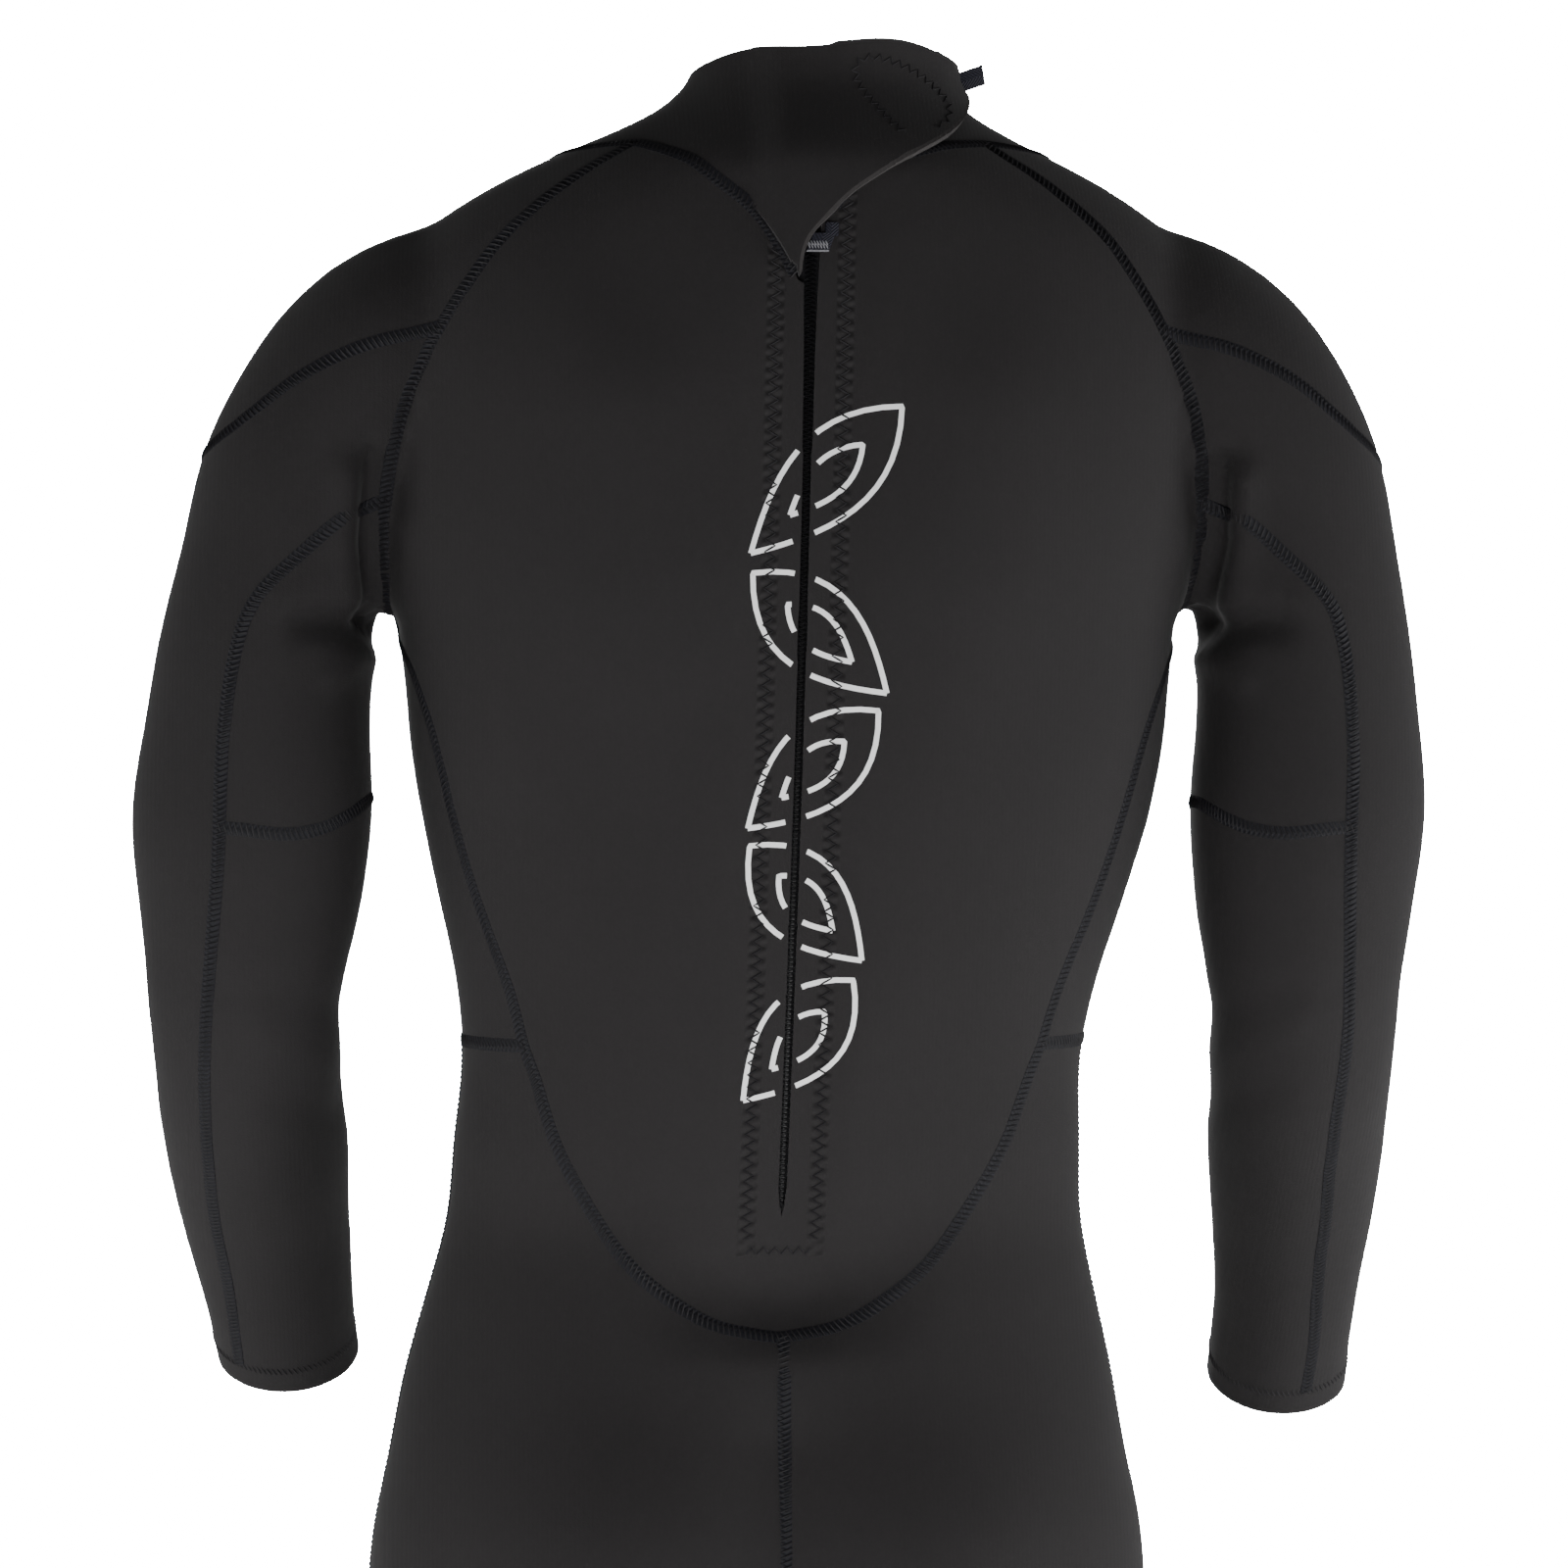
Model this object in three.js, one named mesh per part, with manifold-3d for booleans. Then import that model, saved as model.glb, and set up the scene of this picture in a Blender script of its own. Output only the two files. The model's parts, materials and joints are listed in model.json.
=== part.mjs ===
// Full wetsuit with a centre-back zip, standing as it does on a body with bent elbows.
// Millimetres, +Z up. The wearer faces -Y, so +X is the wearer's left and the zip is on +Y.
// The origin is at the root of the neck, midway between the shoulders.

import * as THREE from 'three';
import { mergeVertices } from 'three/addons/utils/BufferGeometryUtils.js';
import Module from 'manifold-3d';

const wasm = await Module();
wasm.setup();

// ---- driving sizes ---------------------------------------------------------------------------

// grading: the tables below are drawn for the base size and stretched to the size made
const baseChestWidth = 380;
const baseBackLength = 480;
const chestWidth = 380;
const backLength = 480;
const across = chestWidth / baseChestWidth;
const along = backLength / baseBackLength;

const wall = 3;              // neoprene thickness
const seamGap = 0.3;         // open gap left between neighbouring solids
const hemLength = 14;        // turned hem at wrist and ankle

// the zip lies on an arc, so that its slider can turn about the arc's centre
const zipArcRadius = 1250 * along;
const zipArcTopZ = -215 * along;
const zipArcCrest = 108;
const zipDrop = 1.8;         // from the shell's inner face, at its centre line, down to the tapes
const zipTop = -8 * along;
const zipBottom = -492 * along;
const coilHalfWidth = 3;
const coilHeight = 3;
const coilLift = 0.2;        // from the tapes up to the coil
const coilSplit = 0.5;
const tapeWidth = 15;
const tapeThickness = 1;
const guardHalfWidth = 30;
const guardThickness = 2;
const guardBeyondZip = 20;
const zipStopLength = 4;

const sliderWall = 1.2;
const sliderLength = 16;
const sliderPlate = 1.6;
const sliderClearance = 0.4;
const plateOverlap = 0.1;    // how far the cheeks run into the plate
const sliderHalfWidth = coilHalfWidth + sliderClearance + sliderWall;
const slitHalfWidth = sliderHalfWidth + sliderClearance;
const sliderTop = zipTop - zipStopLength - 1;

const pullGap = 1.5;         // from the slider down to the puller, so that it swings clear of the flap
const pullerLength = 3;
const pullerThickness = 1.4;
const strapWidth = 9.8;
const strapLength = 7.8;
const strapThickness = 1.6;
const strapCentreX = -4.9;
const pullLift = 0.4;        // from the back's outer face up to the puller and strap

const patchThickness = 1.2;
const flapThickness = 3;
const tab = { out: 12, tall: 10, thick: 1.6, z: 43 };

// the suit leans a little to the wearer's right above the seat, and more at the neck
const backLean = { slope: 0.0283, from: -560 * along, softness: 30 };
const neckLean = { slope: 0.2, from: 10 * along, softness: 10 };
const leanStep = 40;
const stripStep = 24;
const sliderStep = 8;

// where the sleeves and legs bend, and half of the length of each bending zone
const elbow = { x: 255 * across, y: 3, z: -384 * along };
const elbowHalf = 50;
const wrist = { y: -131, z: -575.7 * along };
const forearmTilt = Math.atan2(elbow.y - wrist.y, elbow.z - wrist.z);
const forearmLength = Math.hypot(elbow.y - wrist.y, elbow.z - wrist.z);
const kneeZ = -1040 * along;
const kneeHalf = 55;

// ---- body form: tables for the base size -----------------------------------------------------

// height, half width, depth in front, depth behind
const trunkRows = [
  [58, 63, 60, 58],
  [40, 64, 60, 58],
  [26, 72, 62, 63],
  [12, 96, 66, 78],
  [-4, 130, 72],
  [-25, 168, 80],
  [-45, 194, 88],
  [-70, 200, 96],
  [-110, 197, 108],
  [-160, 193, 115],
  [-215, 190, 117],
  [-270, 178, 114],
  [-325, 165, 110],
  [-375, 150, 107],
  [-420, 144, 106],
  [-470, 146, 106],
  [-510, 151, 107],
  [-560, 164, 108, 92],
  [-620, 175, 106, 112],
  [-680, 184, 102, 122],
  [-736, 178, 90, 110],
];
const neckTilt = 10;

// centre x, y, z, half width across, half width front to back
const armRows = [
  [140, 0, -66, 54, 56],
  [196, 2, -96, 58, 62],
  [225, 4, -145, 56, 61],
  [237, 6, -205, 54, 60],
  [246, 8, -270, 54, 58],
  [250, 10, -330, 48, 52],
  [255, 8, -378, 43, 46],
  [254, -14, -418, 42, 44],
  [255, -47, -460, 42, 42],
  [256, -79, -503, 38, 36],
  [256, -108, -543, 34, 32],
  [256, -125, -567, 34, 32],
];
const legRows = [
  [90, 6, -690, 84, 100],
  [93, 8, -745, 88, 99],
  [97, 6, -820, 82, 91],
  [102, 2, -910, 72, 80],
  [106, -2, -985, 63, 70],
  [108, -4, -1040, 58, 64],
  [110, 2, -1095, 55, 61],
  [112, 12, -1160, 57, 64],
  [114, 14, -1230, 50, 57],
  [116, 8, -1310, 42, 46],
  [117, 4, -1400, 40, 44],
];
const trunkSides = 28;
const armSides = 14;
const legSides = 16;
const trunkSquareness = 2.4;
const neckSquareness = 2;

// ---- seam lines on the wearer's left, x and z, for the base size -------------------------------

const neckline = [[83, 11], [58, 0], [44, -10], [31, -19], [22, -29], [16, -38], [7.5, -50]];
const frontNeckline = [[110, 8], [83, 4], [50, -14], [0, -24], [-50, -14], [-83, 4], [-110, 8]];
const raglan = [[83, 11], [112, -8], [140, -32], [157, -55], [170, -76], [184, -105], [191, -135], [192, -165],
  [189, -196], [186, -215]];
const princess = [[186, -215], [176, -240], [167, -268], [158, -305], [147, -340], [129, -387], [122, -412]];
const lowerBack = [[122, -412], [115, -430], [106, -457], [92, -483], [76, -507], [56, -526], [30, -541], [0, -547]];
const shoulderSeam = [[150, -70], [170, -76], [205, -85], [236, -100], [260, -119], [320, -165]];
const sleeveSeam = [[180, -156], [192, -156], [212, -166], [228, -181], [250, -203], [258, -225], [262, -252],
  [264, -285], [263, -320], [266, -360], [270, -410], [269, -460], [260, -505], [250, -545], [240, -620]];
const crossSeam = [[300, -310], [263, -310], [235, -313], [215, -309], [200, -299], [180, -280]];
const flapFreeEdge = [[8, -50], [6.2, -37], [-0.5, -28.5], [-17, -13.6], [-33, -2], [-48.5, 7], [-64, 14],
  [-80, 23], [-80, 44], [-60, 56], [-45, 80]];
// the flap turns on this line, which is upright once the lean is added
const flapHinge = [[25.2, 80], [20.2, 58], [16.1, 40], [11.8, 20], [9.3, 0], [8.3, -25]];
const flapEdge = [...flapFreeEdge, ...flapHinge];
const patchEdge = [[-15, 41], [-14, 50], [-22, 53], [-44, 46], [-60, 34], [-62, 22], [-55, 16], [-41, 14], [-32, 22]];
const armGapX = 186;         // upright line between the body and the arm
const waistZ = -412;
const armpitZ = -215;
const sideFrontY = -45;      // front edge of the side panel
const legSideY = 4;          // side seam of the leg
const flapEndY = 8;
const far = 500;

// rough ends of the areas that panels are cut from: they lie off the shell, or in a part of it that an
// earlier cut has taken, so only the seam lines shape a panel
const neckSideX = 83;
const neckReach = { x: 110, z: 30 };
const overTop = 100;
const underFoot = -1500;
const gussetOverlap = 5;
const sleeveReachX = 400;
const overShoulder = [[sleeveReachX, -165], [sleeveReachX, 60], [60, 60], [60, -70]];
const outsideSleeve = [[sleeveReachX, -620], [sleeveReachX, 0], [140, 0], [140, -156]];
const overUnderarm = [[150, -280], [150, -120], [300, -120]];
const innerSleeve = [[150, -250], [300, -250], [300, -400], [150, -400]];
const belowElbow = { x: armGapX - 10, z: -700 };

// ---- helpers ---------------------------------------------------------------------------------

const weldDistance = 1e-4;
const sharpestMitre = 0.3;

const softRise = (t, softness) => (t + Math.hypot(t, softness)) / 2;
const leanOf = ({ slope, from, softness }, z) => -slope * softRise(z - from, softness);
const lean = (z) => leanOf(backLean, z) + leanOf(neckLean, z);
const zipArcCentreY = zipArcCrest - zipArcRadius;
const zipY = (z) => zipArcCentreY + Math.sqrt(zipArcRadius ** 2 - (z - zipArcTopZ) ** 2);

function toSolid(geometry) {
  const bare = geometry.clone();
  bare.deleteAttribute('normal');
  bare.deleteAttribute('uv');
  const merged = mergeVertices(bare, weldDistance);
  const vertProperties = new Float32Array(merged.attributes.position.array);
  const triVerts = new Uint32Array(merged.index.array);
  return new wasm.Manifold(new wasm.Mesh({ numProp: 3, vertProperties, triVerts }));
}

function toGeometry(solid) {
  const { vertProperties, triVerts } = solid.getMesh();
  const geometry = new THREE.BufferGeometry();
  geometry.setAttribute('position', new THREE.BufferAttribute(vertProperties, 3));
  geometry.setIndex(new THREE.BufferAttribute(triVerts, 1));
  geometry.computeVertexNormals();
  return geometry;
}

// a closed cylinder whose rings are moved to the stations of a form
function loft(ringCount, sides, place) {
  const geometry = new THREE.CylinderGeometry(1, 1, 1, sides, ringCount - 1);
  const position = geometry.attributes.position;
  const point = new THREE.Vector3();
  for (let i = 0; i < position.count; i += 1) {
    point.fromBufferAttribute(position, i);
    const ring = Math.round((0.5 - point.y) * (ringCount - 1));
    place(ring, point.x, -point.z, point);
    position.setXYZ(i, point.x + lean(point.z), point.y, point.z);
  }
  return toSolid(geometry);
}

// rounds a unit circle out towards a square
function squareOut(value, squareness) {
  return Math.sign(value) * Math.abs(value) ** (2 / squareness);
}

function trunk(grow, beyondNeck) {
  const rows = trunkRows;
  return loft(rows.length, trunkSides, (ring, cx, cy, point) => {
    const [row, half, front, behind] = rows[ring];
    const height = row * along;
    const back = behind ?? zipY(height);
    const squareness = height > 0 ? neckSquareness : trunkSquareness;
    const depth = cy > 0 ? back + grow : front + grow;
    const tilt = Math.max(0, height) / trunkRows[0][0] * neckTilt;
    const reach = ring === 0 ? beyondNeck : 0;
    const floor = ring === rows.length - 1 ? -grow : 0;
    const y = squareOut(cy, squareness) * depth;
    point.set(squareOut(cx, squareness) * (half * across + grow), y, height + reach + floor + tilt * cy);
  });
}

// a limb follows its rows' centres, each ring square to the line of the limb
function limb(rows, sides, side, grow, beyondEnd) {
  const centres = rows.map(([x, y, z]) => new THREE.Vector3(side * x * across, y, z * along));
  const last = centres.length - 1;
  const end = centres[last].clone().sub(centres[last - 1]).normalize();
  centres[last].addScaledVector(end, beyondEnd);
  const forward = new THREE.Vector3(0, 1, 0);
  return loft(rows.length, sides, (ring, cx, cy, point) => {
    const before = centres[Math.max(0, ring - 1)];
    const after = centres[Math.min(last, ring + 1)];
    const up = before.clone().sub(after).normalize();
    const aside = new THREE.Vector3().crossVectors(forward, up).normalize();
    const back = new THREE.Vector3().crossVectors(up, aside);
    const [, , , halfAcross, halfDeep] = rows[ring];
    point.copy(centres[ring]);
    point.addScaledVector(aside, cx * (halfAcross + grow));
    point.addScaledVector(back, cy * (halfDeep + grow));
  });
}

function form(grow, beyond) {
  let whole = trunk(grow, beyond);
  for (const side of [1, -1]) {
    whole = whole.add(limb(armRows, armSides, side, grow, beyond));
    whole = whole.add(limb(legRows, legSides, side, grow, beyond));
  }
  return whole;
}

const sized = (line) => line.map(([x, z]) => new THREE.Vector2(x * across, z * along));
const mirrored = (line) => line.map(([x, z]) => [-x, z]);

// moves a closed outline outwards by a distance, corner by corner
function grown(outline, distance) {
  const area = THREE.ShapeUtils.area(outline);
  const outward = area > 0 ? distance : -distance;
  return outline.map((corner, i) => {
    const before = outline[(i + outline.length - 1) % outline.length];
    const after = outline[(i + 1) % outline.length];
    const first = corner.clone().sub(before).normalize();
    const second = after.clone().sub(corner).normalize();
    const normal = new THREE.Vector2(first.y + second.y, -first.x - second.x);
    const mitre = outward / Math.max(sharpestMitre, 1 + first.dot(second));
    return corner.clone().addScaledVector(normal, mitre);
  });
}

// long edges get points in between, because the lean bends them
function leaned(outline) {
  const points = [];
  outline.forEach((corner, i) => {
    const next = outline[(i + 1) % outline.length];
    const steps = Math.ceil(Math.abs(next.y - corner.y) / leanStep);
    for (let step = 0; step < Math.max(1, steps); step += 1) {
      const p = corner.clone().lerp(next, step / Math.max(1, steps));
      points.push(new THREE.Vector2(p.x + lean(p.y), p.y));
    }
  });
  return points;
}

// a block whose outline is drawn on the upright XZ plane, from yLow to yHigh
function block(line, yLow, yHigh, extra = 0) {
  const outline = leaned(grown(sized(line), extra));
  const depth = yHigh - yLow + 2 * extra;
  const geometry = new THREE.ExtrudeGeometry(new THREE.Shape(outline), { depth, bevelEnabled: false });
  geometry.rotateX(Math.PI / 2);
  geometry.translate(0, yHigh + extra, 0);
  return toSolid(geometry);
}

// a slab across a forearm, between two distances from the elbow, square to the forearm
function sleeveSlab(side, from, to, extra = 0) {
  const halfSpan = elbow.x - armGapX * across;
  const geometry = new THREE.BoxGeometry(2 * halfSpan, 4 * halfSpan, to - from + 2 * extra);
  geometry.translate(0, 0, -(from + to) / 2);
  geometry.rotateX(-forearmTilt);
  geometry.translate(side * elbow.x + lean(elbow.z), elbow.y, elbow.z);
  return toSolid(geometry);
}

// a strip along the zip: x from one side to the other, lift above the back's outer face
function zipStrip(xLow, xHigh, liftLow, liftHigh, zLow, zHigh, stepLength = stripStep) {
  const steps = Math.max(1, Math.ceil((zHigh - zLow) / stepLength));
  const geometry = new THREE.BoxGeometry(1, 1, 1, 1, 1, steps);
  const position = geometry.attributes.position;
  for (let i = 0; i < position.count; i += 1) {
    const x = THREE.MathUtils.lerp(xLow, xHigh, position.getX(i) + 0.5);
    const lift = THREE.MathUtils.lerp(liftLow, liftHigh, position.getY(i) + 0.5);
    const z = THREE.MathUtils.lerp(zLow, zHigh, position.getZ(i) + 0.5);
    const slope = Math.asin((z - zipArcTopZ) / zipArcRadius);
    const rise = z + lift * Math.sin(slope);
    position.setXYZ(i, x + lean(z), zipY(z) + lift * Math.cos(slope), rise);
  }
  return toSolid(geometry);
}

// ---- the suit's shell and the cutter that takes panels off it ---------------------------------

const openEnd = 20;
const solids = {};
let rest = form(0, 0).subtract(form(-wall, openEnd));

// takes a panel out of what is left of the shell, and leaves the seam gap round it
function cutPanel(name, region) {
  solids[name] = rest.intersect(region(0));
  rest = rest.subtract(region(seamGap));
}

function forBothSides(cut) {
  cut('left', 1, (line) => line);
  cut('right', -1, mirrored);
}

function cutZipSlit() {
  const x = slitHalfWidth / across;
  const bottom = zipBottom / along;
  rest = rest.subtract(block([[x, bottom], [x, overTop], [-x, overTop], [-x, bottom]], 0, far));
}

function cutCollar() {
  const { x, z } = neckReach;
  const above = [[-x, z], [-x, overTop], [x, overTop], [x, z]];
  const neckBack = [...neckline, ...mirrored(neckline).reverse(), ...above];
  const neckFront = [...frontNeckline, [-x, overTop], [x, overTop]];
  const [, slitTopZ] = neckline[neckline.length - 1];
  const underlap = [...mirrored(neckline), [0, slitTopZ], [0, overTop], [-neckSideX, overTop]];
  cutPanel('collar_underlap', (extra) => block(underlap, 0, far, extra));
  cutPanel('collar_band', (extra) => {
    const behind = block(neckBack, 0, far, extra);
    return behind.add(block(neckFront, -far, 1, extra));
  });
}

function cutBody() {
  const shoulders = [[-neckSideX, overTop], [neckSideX, overTop]];
  const edge = [...raglan, ...princess.slice(1), ...lowerBack.slice(1)];
  const back = [...edge, ...mirrored(edge).reverse().slice(1), ...shoulders];
  cutPanel('back_panel', (extra) => block(back, 0, far, extra));
  const chest = [...raglan, ...mirrored(raglan).reverse(), ...shoulders];
  const bellyTop = armpitZ + gussetOverlap;
  const belly = [[armGapX, bellyTop], [armGapX, waistZ], [-armGapX, waistZ], [-armGapX, bellyTop]];
  cutPanel('front_panel', (extra) => {
    const upper = block(chest, -far, 0, extra);
    return upper.add(block(belly, -far, sideFrontY, extra));
  });
  forBothSides((side, _, turn) => {
    const sidePanel = [[0, armpitZ], [armGapX, armpitZ], [armGapX, waistZ], [0, waistZ]];
    cutPanel(`side_panel_${side}`, (extra) => block(turn(sidePanel), sideFrontY, far, extra));
  });
}

function cutLegs() {
  const kneeTop = (kneeZ + kneeHalf) / along;
  const kneeFoot = (kneeZ - kneeHalf) / along;
  const ankle = (legRows[legRows.length - 1][2] * along + hemLength) / along;
  const stretch = (top, bottom) => [[0, top], [armGapX, top], [armGapX, bottom], [0, bottom]];
  forBothSides((side, _, turn) => {
    const cutHalf = (name, line, yLow, yHigh) => {
      cutPanel(`${name}_${side}`, (extra) => block(turn(line), yLow, yHigh, extra));
    };
    cutHalf('ankle_hem', stretch(ankle, underFoot), -far, far);
    cutHalf('seat_panel', stretch(waistZ, kneeTop), legSideY, far);
    cutHalf('front_leg_panel', stretch(waistZ, kneeTop), -far, legSideY);
    cutHalf('knee_back', stretch(kneeTop, kneeFoot), legSideY, far);
    cutHalf('knee_pad', stretch(kneeTop, kneeFoot), -far, legSideY);
    cutHalf('calf_panel', stretch(kneeFoot, ankle), legSideY, far);
    cutHalf('shin_panel', stretch(kneeFoot, ankle), -far, legSideY);
  });
}

function cutSleeves() {
  const elbowTop = (elbow.z + elbowHalf) / along;
  forBothSides((side, sign, turn) => {
    const slab = (from, to) => (extra) => sleeveSlab(sign, from, to, extra);
    const outerLine = turn([...sleeveSeam, ...outsideSleeve]);
    const hemStart = forearmLength - hemLength;
    cutPanel(`wrist_hem_${side}`, slab(hemStart, far));
    cutPanel(`forearm_outer_${side}`, (extra) => {
      const forearm = slab(elbowHalf, hemStart)(extra);
      return forearm.intersect(block(outerLine, -far, far, extra));
    });
    cutPanel(`forearm_inner_${side}`, slab(elbowHalf, hemStart));
    const { x, z } = belowElbow;
    const below = turn([[x, elbowTop], [sleeveReachX, elbowTop], [sleeveReachX, z], [x, z]]);
    cutPanel(`elbow_zone_${side}`, (extra) => block(below, -far, far, extra));
    const top = turn([...shoulderSeam, ...overShoulder]);
    cutPanel(`shoulder_panel_${side}`, (extra) => block(top, -far, far, extra));
    cutPanel(`sleeve_outer_${side}`, (extra) => block(outerLine, -far, far, extra));
    const underarm = turn([...crossSeam, ...overUnderarm]);
    cutPanel(`underarm_panel_${side}`, (extra) => block(underarm, -far, far, extra));
    cutPanel(`sleeve_inner_${side}`, (extra) => block(turn(innerSleeve), -far, far, extra));
  });
}

// ---- neck flap and its fastening ---------------------------------------------------------------

// a layer that follows the body at a height above its outer face
function layer(low, high) {
  return trunk(high, 0).subtract(trunk(low, 1));
}

function addFlap() {
  const loopLow = seamGap;
  const loopHigh = loopLow + patchThickness;
  const hookLow = loopHigh + seamGap;
  const hookHigh = hookLow + patchThickness;
  const flapLow = hookHigh + seamGap;
  solids.loop_patch = layer(loopLow, loopHigh).intersect(block(patchEdge, 0, far));
  solids.hook_patch = layer(hookLow, hookHigh).intersect(block(patchEdge, 0, far));
  solids.neck_flap = layer(flapLow, flapLow + flapThickness).intersect(block(flapEdge, flapEndY, far));
  const [, neckHalf] = trunkRows[1];
  const webbing = new THREE.BoxGeometry(tab.out, tab.thick, tab.tall);
  const tabX = -neckHalf * across - tab.out / 2 - 2 * seamGap;
  const tabY = flapEndY - seamGap - tab.thick / 2;
  webbing.translate(tabX + lean(tab.z * along), tabY, tab.z * along);
  solids.flap_tab = toSolid(webbing);
}

// ---- zip ---------------------------------------------------------------------------------------

const tapeTop = -wall - zipDrop;
const tapeFoot = tapeTop - tapeThickness;
const coilFoot = tapeTop + coilLift;
const coilCrest = coilFoot + coilHeight;
const sliderFoot = coilFoot;
const plateFoot = coilCrest + sliderClearance;

function addZip() {
  forBothSides((side, sign) => {
    const strip = (near, away, low, high, zLow, zHigh) => {
      const xLow = Math.min(sign * near, sign * away);
      const xHigh = Math.max(sign * near, sign * away);
      return zipStrip(xLow, xHigh, low, high, zLow, zHigh);
    };
    const coilFootZ = zipBottom + zipStopLength + seamGap;
    const coilTopZ = zipTop - zipStopLength - seamGap;
    const inner = coilSplit / 2;
    solids[`zip_tape_${side}`] = strip(inner, tapeWidth, tapeFoot, tapeTop, zipBottom, zipTop);
    solids[`zip_coil_${side}`] = strip(inner, coilHalfWidth, coilFoot, coilCrest, coilFootZ, coilTopZ);
    solids[`zip_top_stop_${side}`] = strip(inner, coilHalfWidth, coilFoot, coilCrest, zipTop - zipStopLength, zipTop);
  });
  const stopHalf = coilHalfWidth;
  solids.zip_bottom_stop = zipStrip(-stopHalf, stopHalf, coilFoot, coilCrest, zipBottom + seamGap, zipBottom + zipStopLength);
  const guardTop = tapeFoot - seamGap;
  const guardFootZ = zipBottom - guardBeyondZip;
  solids.zip_guard = zipStrip(-guardHalfWidth, guardHalfWidth, guardTop - guardThickness, guardTop, guardFootZ, zipTop);
}

function addSlider() {
  const foot = sliderTop - sliderLength;
  const cheek = (xLow) => zipStrip(xLow, xLow + sliderWall, sliderFoot, plateFoot + plateOverlap, foot, sliderTop, sliderStep);
  const plate = zipStrip(-sliderHalfWidth, sliderHalfWidth, plateFoot, plateFoot + sliderPlate, foot, sliderTop, sliderStep);
  solids.zip_slider = plate.add(cheek(-sliderHalfWidth)).add(cheek(sliderHalfWidth - sliderWall));
  const left = strapCentreX - strapWidth / 2;
  const right = strapCentreX + strapWidth / 2;
  const pullerTopZ = foot - pullGap;
  const pullerFootZ = pullerTopZ - pullerLength;
  const strapTopZ = pullerFootZ - seamGap;
  solids.zip_puller = zipStrip(left, right, pullLift, pullLift + pullerThickness, pullerFootZ, pullerTopZ);
  solids.pull_strap = zipStrip(left, right, pullLift, pullLift + strapThickness, strapTopZ - strapLength, strapTopZ);
}

cutZipSlit();
cutCollar();
cutBody();
cutLegs();
cutSleeves();
addFlap();
addZip();
addSlider();

// ---- materials and the finished group ------------------------------------------------------------

const neoprene = { color: 0x2d2a2b, roughness: 0.85, metalness: 0 };
const kneeRubber = { color: 0x1d1c1d, roughness: 0.6, metalness: 0 };
const webbingBlack = { color: 0x232225, roughness: 0.8, metalness: 0 };
const coilBlack = { color: 0x121214, roughness: 0.5, metalness: 0 };
const enamel = { color: 0x1a1a1c, roughness: 0.35, metalness: 0.6 };
const fastener = { color: 0x1b1a1c, roughness: 0.95, metalness: 0 };

function finishOf(name) {
  if (name.startsWith('knee_pad')) return kneeRubber;
  if (name.includes('coil') || name.includes('stop')) return coilBlack;
  if (name.includes('tape') || name.includes('strap') || name.includes('tab')) return webbingBlack;
  if (name.includes('slider') || name.includes('puller')) return enamel;
  if (name.includes('patch')) return fastener;
  return neoprene;
}

const suit = new THREE.Group();
for (const [name, solid] of Object.entries(solids)) {
  const mesh = new THREE.Mesh(toGeometry(solid), new THREE.MeshStandardMaterial(finishOf(name)));
  mesh.name = name;
  suit.add(mesh);
}

export default suit;
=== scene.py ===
# %% [markdown]
# # A back-zip wetsuit, seen from behind
# A wetsuit is sewn from flat panels of neoprene: foam rubber, 3 mm thick, with a fine nylon
# jersey bonded to both faces. Worn or hung on a form it takes the body's shape and shows few
# folds. This lesson grows one smooth body form, cuts the panels out of it along the seam lines,
# gives each its thickness, and sews it: flatlock seams, zigzag rows beside the zip, hems, the
# collar with its flap, the zip and the webbing. The rigid frame is loaded first. Most pieces are
# tied to one of its bodies; those that span a joint are left fixed where they are made.

# %% Load the frame
import json
import math

import bpy
import numpy as np
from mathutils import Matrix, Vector
from mathutils.bvhtree import BVHTree

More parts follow.
